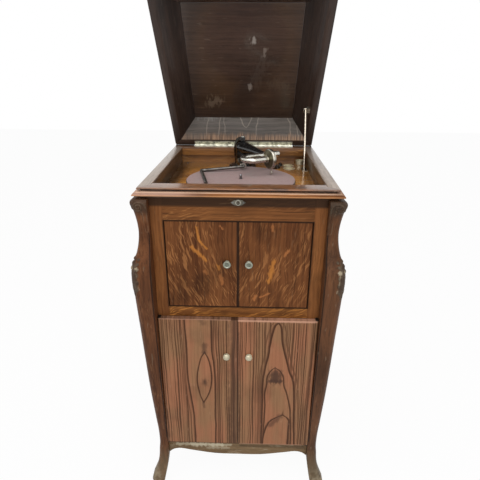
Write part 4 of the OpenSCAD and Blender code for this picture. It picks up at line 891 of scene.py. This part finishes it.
# %% The figure of the lower doors
# Each arch: centre and half width in metres at heights from 0 at the top to 1 at the bottom, and a width.
ARCHES = {
    "left": [
        ([(0, .1034), (.2, .1062), (.5, .109), (.78, .1148), (1, .1145)],
         [(0, .0337), (.2, .0338), (.5, .035), (.78, .0288), (1, .0285)], 0.0075),
        ([(0, .121), (.25, .1205), (.45, .117), (.65, .1135), (1, .113)],
         [(0, -.02), (.215, -.006), (.245, 0), (.30, .010), (.40, .017), (.47, .018), (.55, .0125), (.635, 0),
          (.68, -.008), (1, -.02)], 0.0055),
    ],
    "right": [
        ([(0, .1045), (.05, .1045), (.17, .103), (.235, .105), (.37, .107), (.45, .111), (.6, .1145), (.8, .1165),
          (1, .118)],
         [(0, -.006), (.02, 0), (.05, .0075), (.17, .0165), (.235, .021), (.37, .033), (.45, .0395), (.6, .043),
          (.8, .0455), (1, .047)], 0.0090),
        ([(0, .1035), (.45, .1035), (.55, .1065), (.67, .1135), (.8, .115), (1, .1155)],
         [(0, -.02), (.335, -.004), (.36, .007), (.39, .016), (.43, .0215), (.48, .0225), (.55, .0285), (.67, .0345),
          (.8, .038), (1, .0395)], 0.0060),
        ([(0, .129), (.735, .129), (.76, .1265), (.81, .119), (.89, .1135), (1, .111)],
         [(0, -.02), (.72, -.004), (.735, 0), (.76, .0165), (.81, .0285), (.89, .0335), (1, .036)], 0.0095),
    ],
}
# Dark marks in the figure, with painted shade along the edges where the doors meet; and painted highlights on the
# doors' top and bottom edges: start and end as across and down, width and strength.
DOOR_DARK_MARKS = {
    "left": [((.1195, .185), (.1195, .24), .011, .65), ((.113, .645), (.113, .68), .006, .5),
             ((.1175, .465), (.1175, .485), .013, .5), ((.1175, .47), (.1175, .48), .0065, .6),
             ((.112, 0), (.118, .03), .012, .4), ((.206, 0), (.206, 1), .032, .5)],
    "right": [((.1035, .40), (.1035, .435), .0275, .9), ((.088, .455), (.119, .455), .010, .8),
              ((.096, .82), (.120, .75), .014, .6), ((.0, .1), (.0, 1), .008, .5)],
}
EDGE_HIGHLIGHTS = {
    "left": [((.004, .003), (.190, .003), .0022, .5)],
    "right": [((.003, .006), (.203, .005), .0052, .85), ((.006, .998), (.190, .998), .0024, .5)],
}
FIGURE_AT, FIGURE_HALF = 0.108, 0.036
print(sum(len(v) for v in ARCHES.values()), "arches and", sum(len(v) for v in DOOR_DARK_MARKS.values()), "dark_marks")

# %% Lower doors
def arched_lines(tree, place, side, low, high):
    """How dark the growth rings make each place of a lower door."""
    x, _, z = split(tree, place)
    wobble = times_plus(tree, cloud(tree, place, (26, 26, 7), 3), 0.010, -0.005)
    across = plus(tree, minus(tree, x, low.x), wobble)
    down = calc(tree, "DIVIDE", minus(tree, high.z, z), high.z - low.z)
    rings = [use(tree, arch_group, Across=across, Centre=curve(tree, down, centre, 0.0, 0.2),
                 Half=curve(tree, down, half, -0.03, 0.05), Width=width) for centre, half, width in ARCHES[side]]
    main_away, lines = rings[0]["Away"], rings[0]["Line"]
    for ring in rings[1:]:
        lines = most(tree, lines, ring["Line"])
    straight = minus(tree, calc(tree, "ABSOLUTE", minus(tree, across, FIGURE_AT)), FIGURE_HALF)
    beside = join(tree, straight, calc(tree, "SIGN", minus(tree, across, 0.1)), z)
    narrow = span(tree, cloud(tree, beside, (270, 5, 1.6)), 0.43, 0.60)
    hair = span(tree, cloud(tree, beside, (950, 5, 6), 1), 0.40, 0.65)
    outside = span(tree, main_away, -0.004, 0.012, 0.12, 0.78)
    echo = times(tree, window(tree, main_away, 0.0090, 0.0115, 0.0120, 0.0165), 0.6)
    share = most(tree, times(tree, narrow, outside), times(tree, lines, 0.95))
    return times_plus(tree, hair, 0.2, most(tree, share, echo))


def lower_door(side):
    low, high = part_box("lower_" + side + "_door")
    middle, size = (low + high) / 2, high - low
    material, tree, place = new_material("lower_door_oak_" + side)

    def smear(colour, rows, tint, ragged):
        for start, end, wide, strength in rows:
            ends = [(low.x + u, high.z - v * size.z) for u, v in (start, end)]
            colour = mark(tree, place, colour, tint, *ends, wide, strength, ragged)
        return colour

    lines = arched_lines(tree, place, side, low, high)
    blush = span(tree, cloud(tree, place, (19, 19, 7)), 0.35, 0.65)
    colour = blend_colour(tree, blush, srgb(148, 109, 77), srgb(160, 107, 77))
    colour = smear(tinted(tree, colour, (70, 42, 25), lines), DOOR_DARK_MARKS[side], (70, 47, 36), 0.6)
    # A dark line round each door: painted shade in the gap.
    colour = outline(tree, place, colour, (44, 28, 19), middle.xz, size.xz / 2, 0.003, 0.6)
    # Painted highlights on the doors' top and bottom edges.
    colour = smear(colour, EDGE_HIGHLIGHTS[side], (198, 150, 124), 0.4)
    pores = span(tree, cloud(tree, place, (520, 520, 12), 1), 0.56, 0.68)
    finish_wood(tree, place, colour, times(tree, plus(tree, lines, pores), -0.6), (80, 48, 30), worn=(190, 144, 116),
                scuffs=0.2, grime=0.25, shine=0.15)
    return material


for side in ("left", "right"):
    eased("lower_" + side + "_door", EASE, [lower_door(side)])
print("2 lower doors")

# %% [markdown]
# ## The lid
# The lid is dark and polished inside. Its grain runs along each rail, so the side rails need the pattern turned by the
# angle at which the lid stands open. The wall next to the hinge is pale grey: a faded finish, with painted reflection.

# %% Marks inside the lid
LID_OPEN = math.radians(54.8)
HINGE = joint_at["lid_hinge"]
leaf_way = Vector((0, -math.cos(LID_OPEN), math.sin(LID_OPEN)))
leaf_face = Vector((0, -math.sin(LID_OPEN), -math.cos(LID_OPEN)))
WALL_FOOT, WALL_TALL = HINGE.z + 0.015, 0.115
# Pale growth rings on the wall by the hinge: centre and half width at heights from 0 at its foot to 1, and a width.
BACK_RINGS = [
    ([(0, .108), (1, .108)], [(0, -.02), (.37, -.006), (.40, 0), (.52, .012), (.74, .022), (1, .029)], 0.0040),
    ([(0, .090), (1, .090)], [(0, .054), (.4, .052), (.74, .058), (1, .063)], 0.0036),
    ([(0, .1375), (.5, .136), (1, .1285)], [(0, .1225), (.5, .1180), (1, .0985)], 0.0040),
    ([(0, .130), (1, .126)], [(0, .157), (.5, .150), (1, .130)], 0.0032),
]
# Rubbed places on the lid's panel: start and end, width, colour and strength.
PANEL_SCUFFS = [
    ((0.030, 1.268), (0.031, 1.258), 0.008, (176, 170, 162), 0.64),
    ((0.064, 1.240), (0.062, 1.222), 0.006, (146, 134, 124), 0.56),
    ((0.021, 1.138), (0.022, 1.128), 0.008, (168, 158, 148), 0.64),
    ((-0.108, 1.084), (-0.085, 1.092), 0.020, (118, 104, 90), 0.56),
    ((0.062, 1.210), (0.036, 1.140), 0.024, (84, 72, 64), 0.40),
    ((0.085, 1.142), (0.130, 1.142), 0.016, (88, 74, 62), 0.40),
]


def back_wall(tree, place, colour):
    """The lid's wall by the hinge is pale grey, a faded finish with painted reflection: pale growth rings, a warm
    combed foot and a rubbed upper edge.
    """
    x, _, z = split(tree, place)
    up = calc(tree, "DIVIDE", minus(tree, z, WALL_FOOT), WALL_TALL)
    across = plus(tree, x, times_plus(tree, cloud(tree, place, (30, 30, 30)), 0.016, 0.092))
    for centre, half, width in BACK_RINGS:
        line = use(tree, arch_group, Across=across, Centre=curve(tree, up, centre, 0.0, 0.2),
                   Half=curve(tree, up, half, -0.03, 0.17), Width=width)["Line"]
        colour = tinted(tree, colour, (186, 170, 154), line, 0.42)
    for tint, x0, up0, x1, up1, width, strength in (((158, 155, 150), -0.160, 0.112, -0.105, 0.108, 0.030, 0.6),
                                                    ((236, 234, 228), -0.165, 0.128, -0.075, 0.128, 0.007, 0.9)):
        colour = mark(tree, place, colour, tint, (x0, HINGE.z + up0), (x1, HINGE.z + up1), width, strength)
    comb = span(tree, cloud(tree, place, (230, 4, 4)), 0.42, 0.58)
    warm = blend_colour(tree, comb, srgb(108, 80, 58), srgb(186, 146, 112))
    foot = plus(tree, z, times_plus(tree, cloud(tree, place, (60, 8, 8)), 0.03, -0.015))
    foot = span(tree, foot, HINGE.z + 0.046, HINGE.z + 0.026, 0.0, 0.75)
    colour = blend_colour(tree, times(tree, foot, span(tree, x, -0.16, -0.10, 0.5, 1.0)), colour, warm)
    return tinted(tree, colour, (48, 38, 32), span(tree, z, HINGE.z + 0.022, HINGE.z + 0.017), 0.9)


def panel_scuffs(tree, place, colour):
    for start, end, width, tint, strength in PANEL_SCUFFS:
        colour = mark(tree, place, colour, tint, start, end, width, strength, 1.6)
    return colour


print(len(BACK_RINGS), "pale rings and", len(PANEL_SCUFFS), "rubbed places inside the lid")

# %% Lid wood and lid
LID_TONES = dict(dark=(44, 31, 24), light=(74, 56, 46), grain="x", worn=(124, 106, 92), rough=0.28, coat=0.6, shine=0.5,
                 grime=0.4)
lid_x = wood("lid_oak_x", fleck=(110, 90, 76), fleck_amount=0.3, scuffs=0.25, **LID_TONES)
lid_flat = wood("lid_panel_oak", fleck=(92, 76, 66), fleck_amount=0.12, scuffs=0.3, extra=panel_scuffs, **LID_TONES)
lid_side = wood("lid_oak_side", (38, 27, 22), (64, 48, 40), (math.pi / 2 + LID_OPEN, 0, 0), worn=(110, 94, 82),
                rough=0.36, coat=0.12, shine=0.3)
# The wall by the hinge is pale grey: a faded finish, with painted reflection.
lid_back = wood("lid_back_oak", (72, 65, 59), (112, 103, 95), "x", extra=back_wall, worn=(160, 148, 136), grime=0.2,
                rough=0.36, coat=0.1, shine=0.2)


def lid_board(size, middle):
    """1 for the side rails, 2 for the back rail and 0 for the front rail."""
    if abs(middle[0]) > 0.1:
        return 1
    return 2 if middle[2] < HINGE.z + 0.2 else 0


def lid_face(middle, normal, index):
    """Only the inside of the back rail gets the pale grey wood, faded and with painted reflection."""
    return 0 if index == 2 and normal.dot(leaf_way) < 0.1 else index


def panel_face(middle, normal, index):
    return 0 if normal.dot(leaf_face) > 0.1 else 1


eased("lid_rails", 0.0012, [lid_x, lid_side, lid_back], lid_board, lid_face, smooth=True, seed=2.6)
eased("lid_panel", EASE, [lid_flat, lid_x], pick_face=panel_face, seed=7.7)
print("lid rails and panel")

# %% [markdown]
# ## Metals and enamel
# Old plate is never even: it dulls in clouds and shows a warmer tone where it has rubbed through. One
# group makes the clouds, and each metal sets its own two colours. Black enamel and lacquer wear in the
# same way, so they use the group too, without the metal.

# %% The group for tarnish
tarnish_group, given = new_group(
    "tarnish",
    [("Vector", "Vector", None), ("Clean", "Color", (0.8, 0.8, 0.8, 1)), ("Dull", "Color", (0.3, 0.28, 0.25, 1)),
     ("Amount", "Float", 0.5), ("Polish", "Float", 0.2)],
    [("Colour", "Color"), ("Roughness", "Float"), ("Height", "Float")],
)
tree, amount = tarnish_group, given["Amount"]
mist = span(tree, cloud(tree, given["Vector"], (85, 85, 85), 4), 0.4, 0.68)
spots = span(tree, cloud(tree, given["Vector"], (420, 420, 420)), 0.58, 0.72)
dull = most(tree, times(tree, mist, amount), times(tree, spots, amount))
give(tree, Colour=blend_colour(tree, dull, given["Clean"], given["Dull"]),
     Roughness=times_plus(tree, dull, 0.35, given["Polish"]), Height=spots)

# %% Metal and enamel finishes
def metal(name, clean, dulled, amount=0.5, metallic=1.0, coat=0.0, polish=0.2):
    material, tree, place = new_material(name)
    finish = use(tree, tarnish_group, Vector=place, Clean=srgb(*clean), Dull=srgb(*dulled), Amount=amount,
                 Polish=polish)
    surface(tree, finish["Height"], 0.1, 0.0002, {
        "Base Color": finish["Colour"], "Roughness": finish["Roughness"], "Metallic": metallic,
        "Coat Weight": coat, "Coat Roughness": 0.1})
    return material


nickel = metal("aged_nickel", (188, 184, 172), (112, 104, 90), 0.55)
bright = metal("rubbed_nickel", (216, 214, 204), (150, 142, 126), 0.4)
soft_nickel = metal("soft_nickel", (224, 216, 192), (170, 156, 124), 0.4, polish=0.5)
strip_nickel = metal("strip_nickel", (232, 230, 216), (120, 120, 106), 0.7, polish=0.28)
crank_steel = metal("crank_steel", (112, 108, 104), (64, 60, 56), 0.6, polish=0.34)
lock_grey = metal("lock_grey", (108, 104, 94), (62, 58, 50), 0.6, polish=0.4)
knob_ring = metal("knob_ring", (160, 162, 148), (112, 112, 98), 0.5, polish=0.42)
knob_eye = metal("knob_eye", (112, 116, 104), (70, 72, 62), 0.5, 0.6, polish=0.4)
knob_pale = metal("knob_pale", (198, 190, 166), (150, 138, 110), 0.4, polish=0.5)
stay_pale = metal("pale_rod", (230, 218, 200), (180, 160, 138), 0.4)
hinge_dark = metal("hinge_dark", (70, 64, 58), (40, 36, 32), 0.6, polish=0.45)
shaded = metal("olive_nickel", (112, 106, 84), (62, 56, 42), 0.7, polish=0.3)
steel = metal("dull_steel", (140, 140, 142), (78, 74, 70), 0.6)
brass = metal("aged_brass", (206, 176, 118), (118, 92, 54), 0.6)
enamel = metal("black_enamel", (14, 14, 15), (40, 36, 32), 0.35, 0.0, 0.5)
lacquer = metal("black_lacquer", (12, 11, 11), (42, 34, 28), 0.4, 0.0, 0.4)
FINISH = {"nickel": nickel, "steel": steel, "brass": brass, "black_paint": enamel, "black_wood": lacquer}
OWN_FINISH = {"crank_rod": crank_steel, "needle_bar": bright, "lock_plate": lock_grey, "lid_hinge_leaf": strip_nickel,
              "lid_hinge_case_leaf": strip_nickel, "needle_cups": soft_nickel, "stay_rod": stay_pale,
              "lower_left_knob": knob_pale, "lower_right_knob": knob_pale, "gooseneck": bright,
              "lower_door_pivots": hinge_dark}
metal_nodes = [name for name in node_of if slot_of_node[name] in FINISH]
for name in metal_nodes:
    paint_node(name, OWN_FINISH.get(name, FINISH[slot_of_node[name]]))
print("finishes on", len(metal_nodes), "nodes")

# %% Where a fitting changes its finish
ARM_PIVOT = joint_at["tonearm_swing"]
ARM_TURN, CRANK_TURN = math.radians(30), math.radians(11.5)
ARM_SIDE = Vector((math.cos(ARM_TURN), math.sin(ARM_TURN), 0))
ARM_AHEAD = Vector((ARM_SIDE.y, -ARM_SIDE.x, 0))
box_low, box_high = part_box("sound_box")
SOUND_AT, SOUND_R = (box_low + box_high) / 2, (box_high.z - box_low.z) / 2
knob_low, knob_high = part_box("upper_right_knob")
KNOB_AT, KNOB_FRONT = (knob_low + knob_high) / 2, knob_low.y
KNOB_EYE_R, KNOB_EYE_DEEP = 0.0053, 0.004
HANDLE_WAY = Vector((-math.sin(CRANK_TURN), math.cos(CRANK_TURN), 0))
handle_along = [v.co.dot(HANDLE_WAY) for v in node_of["crank_handle"].data.vertices]
HANDLE_START, HANDLE_LONG = min(handle_along), max(handle_along) - min(handle_along)


def sound_face(middle, normal):
    """The plates of the sound box are shaded, its rim is bright."""
    away = middle - SOUND_AT
    ring = (away - ARM_SIDE * away.dot(ARM_SIDE)).length
    return 1 if 0.010 < ring < SOUND_R - 0.0035 else 0


def base_face(middle, normal):
    """The pivot screw and the ring under the arm are plated."""
    out = (middle - ARM_PIVOT).xy.length
    ring = 0.0175 < out < 0.0255 and normal.z > 0.9 and middle.z < 0.91
    return 1 if ring or (out < 0.0055 and middle.z > 0.9855) else 0


def knob_face(middle, normal):
    """The eye in the middle of a knob is darker than its ring."""
    out = math.hypot(abs(middle.x) - KNOB_AT.x, middle.z - KNOB_AT.z)
    return 1 if out < KNOB_EYE_R and middle.y < KNOB_FRONT + KNOB_EYE_DEEP else 0


def handle_face(middle, normal):
    """Plated caps at both ends of the crank's handle."""
    share = (middle.dot(HANDLE_WAY) - HANDLE_START) / HANDLE_LONG
    return 1 if share > 0.93 or share < 0.06 else 0


print("handle is", round(HANDLE_LONG, 4), "long, sound box", round(2 * SOUND_R, 4), "across")

# %% Fittings with two finishes
def two_tone(node, materials, pick):
    """A copy of a node whose faces get a finish by their place and by the way they face."""
    mesh = node_of[node].data.copy()
    mesh.name = node + "_finished"
    mesh.materials.clear()
    for face in mesh.polygons:
        face.material_index = pick(face.center, face.normal)
    stand_for(node, mesh, materials, 40)


two_tone("sound_box", [nickel, shaded], sound_face)
two_tone("tonearm_base", [enamel, bright], base_face)
two_tone("upper_left_knob", [knob_ring, knob_eye], knob_face)
two_tone("upper_right_knob", [knob_ring, knob_eye], knob_face)
two_tone("crank_handle", [lacquer, bright], handle_face)
print("5 fittings with two finishes")

# %% [markdown]
# ## The felt
# A thin disc of felt, with a hole for the spindle, is laid on the turntable. A cloth simulation would
# leave it as flat as it started, so it is built ring by ring: its upper side has a slight nap and its
# outer edge is a little ragged.

# %% The felt's mesh
felt_low, felt_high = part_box("turntable_felt")
felt_middle = (felt_low + felt_high) / 2
FELT_R = (felt_high.x - felt_low.x) / 2
HOLE_R, FELT_LIFT, FELT_THICK = 0.0053, 0.0001, 0.0013
FELT_RINGS, FELT_SPOKES = 44, 160
LAYER = (FELT_RINGS + 1) * FELT_SPOKES


def felt_point(ring, spoke, upper):
    r, a = HOLE_R + (FELT_R - HOLE_R) * ring / FELT_RINGS, 2 * math.pi * spoke / FELT_SPOKES
    nap = 0.00012 * math.sin(9 * a + 31 * r / FELT_R) + 0.0001 * math.sin(23 * a - 17 * r / FELT_R)
    if ring == FELT_RINGS:
        r += 0.0006 * math.sin(13 * a) * math.sin(5 * a + 1)
    z = felt_low.z + (FELT_THICK + nap if upper else FELT_LIFT)
    return felt_middle.x + r * math.cos(a), felt_middle.y + r * math.sin(a), z


verts = [felt_point(k, j, upper) for upper in (False, True) for k in range(FELT_RINGS + 1) for j in range(FELT_SPOKES)]
faces = []
for j in range(FELT_SPOKES):
    n = (j + 1) % FELT_SPOKES
    for k in range(FELT_RINGS):
        inner, out = k * FELT_SPOKES, (k + 1) * FELT_SPOKES
        quad = (inner + j, inner + n, out + n, out + j)
        faces += [quad, tuple(v + LAYER for v in quad[::-1])]
    for rim in (0, FELT_RINGS * FELT_SPOKES):
        faces.append((rim + j, rim + n, rim + n + LAYER, rim + j + LAYER))
felt_mesh = mesh_of("felt_disc", verts, faces, outwards=True)
print("felt disc", round(2 * FELT_R, 4), "across,", len(faces), "faces")

# %% The felt's cloth
felt_cloth, tree, place = new_material("dusty_felt")
fibres = cloud(tree, place, (900, 900, 900), 3)
stains = cloud(tree, place, (22, 22, 22), 3)
colour = blend_colour(tree, span(tree, fibres, 0.35, 0.65), srgb(138, 106, 104), srgb(174, 144, 138))
colour = tinted(tree, colour, (150, 138, 132), span(tree, stains, 0.52, 0.72), 0.5)
surface(tree, fibres, 0.5, 0.0005, {
    "Base Color": colour, "Roughness": 0.95, "Sheen Weight": 0.3, "Sheen Roughness": 0.5})
felt = stand_for("turntable_felt", felt_mesh, [felt_cloth], 50)
print("felt laid on the turntable at", round(felt_low.z, 4))

# %% [markdown]
# ## Screws and dial marks
# Screws repeat, so Geometry Nodes sets them. A mesh of bare points says where each screw stands, which
# way its head looks, how far its slot is turned and how large it is. One node tree puts a head on
# every point. The same tree also sets the marks round the speed dial.

# %% A node tree that sets one piece on many points
setter = bpy.data.node_groups.new("set_on_points", "GeometryNodeTree")
sockets = {}
for label, kind in (("Points", "Geometry"), ("Piece", "Object"), ("Finish", "Material")):
    sockets[label] = setter.interface.new_socket(label, in_out="INPUT", socket_type="NodeSocket" + kind).identifier
setter.interface.new_socket("Geometry", in_out="OUTPUT", socket_type="NodeSocketGeometry")
given = put(setter, "NodeGroupInput").outputs
aim, slot_turn, head_size = (
    put(setter, "GeometryNodeInputNamedAttribute", {"Name": name}, data_type=kind).outputs[0]
    for name, kind in (("aim", "FLOAT_VECTOR"), ("slot_turn", "FLOAT"), ("head_size", "FLOAT")))
facing = put(setter, "FunctionNodeAlignRotationToVector", {"Vector": aim}, axis="Z").outputs[0]
spin = put(setter, "FunctionNodeAxisAngleToRotation", {"Axis": (0, 0, 1), "Angle": slot_turn}).outputs[0]
turned = put(setter, "FunctionNodeRotateRotation", {"Rotation": facing, "Rotate By": spin}, rotation_space="LOCAL")
piece = put(setter, "GeometryNodeObjectInfo", {"Object": given["Piece"]}).outputs["Geometry"]
spread = put(setter, "GeometryNodeInstanceOnPoints", {
    "Points": given["Points"], "Instance": piece, "Rotation": turned.outputs[0], "Scale": head_size})
whole = put(setter, "GeometryNodeRealizeInstances", {"Geometry": spread.outputs[0]})
painted = put(setter, "GeometryNodeSetMaterial", {"Geometry": whole.outputs[0], "Material": given["Finish"]})
put(setter, "NodeGroupOutput", {"Geometry": painted.outputs[0]})
print("setter has", len(setter.nodes), "nodes")

# %% Helpers that use it
def prisms(outlines):
    """Corners and faces of prisms, each an outline of x and y between two heights."""
    verts, faces = [], []
    for line, low, high in outlines:
        k, n = len(verts), len(line)
        verts += [(x, y, low) for x, y in line] + [(x, y, high) for x, y in line]
        faces += [tuple(range(k + n - 1, k - 1, -1)), tuple(range(k + n, k + 2 * n))]
        faces += [(k + j, k + (j + 1) % n, k + n + (j + 1) % n, k + n + j) for j in range(n)]
    return verts, faces


def round_about(centre, first, second, radius, degrees):
    """Places on a circle, from the way first towards the way second."""
    turns = [math.radians(d) for d in degrees]
    return [centre + (first * math.cos(t) + second * math.sin(t)) * radius for t in turns]


def set_on(name, places, piece_mesh, finish, body):
    """places: a list of point, way that it looks, turn of its slot and size."""
    points, ways, turns, sizes = zip(*places)
    carrier = mesh_of(name, points, [])
    for label, kind, field, values in (("aim", "FLOAT_VECTOR", "vector", [c for way in ways for c in way]),
                                       ("slot_turn", "FLOAT", "value", turns), ("head_size", "FLOAT", "value", sizes)):
        carrier.attributes.new(label, kind, "POINT").data.foreach_set(field, values)
    model = bpy.data.objects.new(name + "_model", piece_mesh)
    holder = bpy.data.objects.new(name, carrier)
    scene.collection.objects.link(holder)
    modifier = holder.modifiers.new("set", "NODES")
    modifier.node_group = setter
    modifier[sockets["Piece"]] = model
    modifier[sockets["Finish"]] = finish
    bpy.context.view_layer.update()
    seen = holder.evaluated_get(bpy.context.evaluated_depsgraph_get())
    mesh = bpy.data.meshes.new_from_object(seen)
    holder.modifiers.clear()
    holder.data = mesh
    bpy.data.objects.remove(model)
    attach(holder, body)
    print(name, "set", len(places), "times:", len(mesh.polygons), "faces")


print("helpers for prisms and places")

# %% The screw head and the places of the screws
SLOT, HEAD_TOP = 0.13, 0.93
half_turn = np.linspace(math.asin(SLOT), math.pi - math.asin(SLOT), 15)
top_head = [(HEAD_TOP * math.cos(t), max(HEAD_TOP * math.sin(t), SLOT)) for t in half_turn]
full_head = [(math.cos(t), math.sin(t)) for t in np.linspace(0, 2 * math.pi, 28, endpoint=False)]
screw = mesh_of("screw_head", *prisms([
    (full_head, -0.05, 0.22), (top_head, 0.22, 0.42), ([(-x, -y) for x, y in top_head], 0.22, 0.42)]))
RIM_TOP, DECK_Z = rim_high.z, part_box("motor_board")[1].z
HINGE_SCREW = 0.0026
LEAF_T, LEAF_CLEAR, SUNK = 0.0012, 0.0002, 0.38 * HINGE_SCREW
case_leaf_low, case_leaf_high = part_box("lid_hinge_case_leaf")
guide_low, guide_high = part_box("stay_guide")
lock_low, lock_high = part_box("lock_plate")
crank_low, crank_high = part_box("crank_plate")
GUIDE_X, LOCK_Z = (guide_low.x + guide_high.x) / 2, (lock_low.z + lock_high.z) / 2
base_at = Vector((*ARM_PIVOT.xy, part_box("tonearm_base")[0].z + 0.005))
crank_at = Vector((crank_high.x - 0.0002, *((crank_low + crank_high) / 2).yz))
sound_at = SOUND_AT - ARM_SIDE * 0.0022
hinge_x = np.linspace(-0.150, 0.150, 7)
# Rows of screws on the case: places, the way that the heads look, and size.
CASE_ROWS = [
    ([(x, case_leaf_low.y + 0.005, RIM_TOP + LEAF_T - SUNK) for x in hinge_x], UP, HINGE_SCREW),
    ([(x, CASE_Y + y, DECK_Z) for x in (-0.188, 0.188) for y in (-0.222, 0.222)], UP, 0.0036),
    ([(GUIDE_X, y, guide_high.z) for y in (guide_low.y + 0.0028, guide_high.y - 0.0028)], UP, 0.0022),
    (round_about(base_at, RIGHT, BACK, 0.036, (-150, -30, 30, 90)), UP, 0.0034),
    ([(x, lock_low.y, LOCK_Z) for x in (-0.0125, 0.0125)], -BACK, 0.0015),
    (round_about(crank_at, BACK, UP, 0.0138, (45, 165, 285)), RIGHT, 0.0019),
]
lid_leaf_at = HINGE + leaf_way * 0.0125 - leaf_face * (LEAF_CLEAR + SUNK)
LID_ROWS = [([(x, *lid_leaf_at.yz) for x in hinge_x], leaf_face, HINGE_SCREW)]
SOUND_ROWS = [([p], (p - sound_at).normalized(), 0.0020)
              for p in round_about(sound_at, ARM_AHEAD, UP, SOUND_R - 0.0005, (90, 210, 330))]
print("screw head of", len(screw.polygons), "faces in", len(CASE_ROWS) + len(LID_ROWS) + len(SOUND_ROWS), "rows")

# %% Screws
chance = np.random.default_rng(7)
for name, rows, body in (("case_screws", CASE_ROWS, "cabinet"), ("lid_screws", LID_ROWS, "lid"),
                         ("sound_box_screws", SOUND_ROWS, "goose")):
    places = [(place, way, float(chance.uniform(0, math.pi)), size) for spots, way, size in rows for place in spots]
    set_on(name, places, screw, steel, body)

# %% [markdown]
# ## Turned fittings
# The sleeves and the cap on the tonearm, the ring round the keyhole and the speed dial were turned on a
# lathe. One function turns any closed outline of radius and height about an axis, which is what the
# lathe does. The dial's marks are set by the screws' node tree.

# %% Sleeves, ring and dial
def turned_fitting(name, at, axis, outline_rz, finish, body, sides=48):
    """A closed ring made by turning an outline of radius and height about an axis."""
    way = Vector(axis).normalized()
    first = way.orthogonal().normalized()
    second = way.cross(first)
    n = len(outline_rz)
    verts, faces = [], []
    for j in range(sides):
        t = 2 * math.pi * j / sides
        out = first * math.cos(t) + second * math.sin(t)
        verts += [tuple(Vector(at) + out * r + way * h) for r, h in outline_rz]
        m = (j + 1) % sides
        faces += [(j * n + k, m * n + k, m * n + (k + 1) % n, j * n + (k + 1) % n) for k in range(n)]
    add_piece(mesh_of(name, verts, faces, outwards=True), [finish], body, 40)


FERRULE_AT, FERRULE_R = ARM_PIVOT + ARM_AHEAD * 0.139, 0.009
for name, low, high in (("arm_sleeve_right", 0.030, 0.0452), ("arm_sleeve_left", -0.0094, -0.0010)):
    sleeve = [(-0.0002, low), (0.0006, low), (0.0009, low + 0.0006), (0.0009, high - 0.0006), (0.0005, high),
              (-0.0002, high)]
    turned_fitting(name, FERRULE_AT, ARM_SIDE, [(FERRULE_R + r, h) for r, h in sleeve], bright, "arm")
cap = [(0.0004, 0.0), (0.0084, 0.0), (0.0084, 0.0005), (0.006, 0.0016), (0.0004, 0.0021)]
turned_fitting("arm_cap", FERRULE_AT + ARM_SIDE * 0.0450, ARM_SIDE, cap, bright, "arm")
key_ring = [(0.0050, 0), (0.0068, 0), (0.0065, 0.0010), (0.0053, 0.0010)]
turned_fitting("keyhole_ring", (0.0, lock_low.y, LOCK_Z), -BACK, key_ring, nickel, "cabinet", 32)
speed_low, speed_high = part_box("speed_knob")
dial_at = Vector((*((speed_low + speed_high) / 2).xy, DECK_Z))
dial = [(0.0166, 0), (0.0228, 0), (0.0226, 0.0007), (0.0168, 0.0008)]
turned_fitting("speed_dial", dial_at, UP, dial, nickel, "cabinet", 64)
print("2 sleeves, a cap, a keyhole ring and a dial")

# %% Marks on the dial
TICK_R, TICK_UP, TICK, LONG_TICK = 0.0197, 0.00072, 0.0018, 0.0026
tick = mesh_of("tick", *prisms([([(-1, -0.12), (1, -0.12), (1, 0.12), (-1, 0.12)], 0.0, 0.1)]))
degrees = range(-60, 61, 12)
tick_places = round_about(dial_at + UP * TICK_UP, BACK, -RIGHT, TICK_R, degrees)
ticks = [(place, UP, math.radians(90 + d), TICK if d % 60 else LONG_TICK) for place, d in zip(tick_places, degrees)]
set_on("dial_ticks", ticks, tick, enamel, "cabinet")

# %% [markdown]
# ## The stay's lever and the strips by the hinge
# A thumb lever sits beside the lid stay's pin. On both sides of the strip hinge a bar of dark wood lies on the rim and
# another under the lid, as painted shade in the gap, so that no light comes through there. All of them are plain
# prisms, so an outline and two heights are enough.

# %% The thumb lever on the lid stay
PIN = joint_at["stay_pivot"]
lever = [(-0.0022, -0.0022), (0.0022, -0.0022), (0.0030, 0.0060), (0.0014, 0.0125), (-0.0014, 0.0125),
         (-0.0030, 0.0060)]
lever_mesh = mesh_of("stay_lever", *prisms([(lever, 0.0, 0.0016)]))
tilt = Matrix.Rotation(math.radians(-62), 4, "X") @ Matrix.Rotation(math.radians(-90), 4, "Y")
lever_mesh.transform(Matrix.Translation((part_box("stay_bracket")[0].x - 0.0001, PIN.y, PIN.z)) @ tilt)
add_piece(lever_mesh, [bright], "lid")
print("stay lever at", tuple(round(x, 3) for x in PIN))

# %% Dark strips that stand in for the shade in the gap on both sides of the hinge
# Dark, matt wood that stands in for the shade in the gap.
strip_oak = wood("strip_oak", (34, 24, 19), (56, 42, 34), "x", rough=0.75, shine=0.04)
STRIP_FROM, STRIP_TO, STRIP_EASE = case_leaf_high.x + 0.0015, rim_high.x - 0.0015, 0.0004


def strip(name, body, corners):
    """A dark bar, as painted shade, on each side of the hinge. corners: its outline as y and z, in order."""
    verts, faces = prisms([(corners, side * STRIP_FROM, side * STRIP_TO) for side in (-1, 1)])
    across = [(x, y, z) for y, z, x in verts]
    add_piece(mesh_of(name, across, faces, outwards=True, bevel=STRIP_EASE), [strip_oak], body)


RIM_BACK = rim_high.y
lid_foot = HINGE + leaf_way * (HINGE.y - RIM_BACK) - leaf_face * 0.0014
rim_bar = [(RIM_BACK - y, RIM_TOP + z)
           for y, z in ((0.0040, -0.0002), (0.0006, -0.0002), (0.0006, 0.0023), (0.0040, 0.0023))]
lid_bar = [tuple((lid_foot - leaf_way * out - leaf_face * up).yz)
           for out, up in ((-0.0002, 0.0001), (0.0047, 0.0001), (0.0047, 0.0036), (-0.0002, 0.0036))]
strip("rim_strips", "cabinet", rim_bar)
strip("lid_strips", "lid", lid_bar)
print("strips beside the hinge, from", round(STRIP_FROM, 4), "to", round(STRIP_TO, 4))
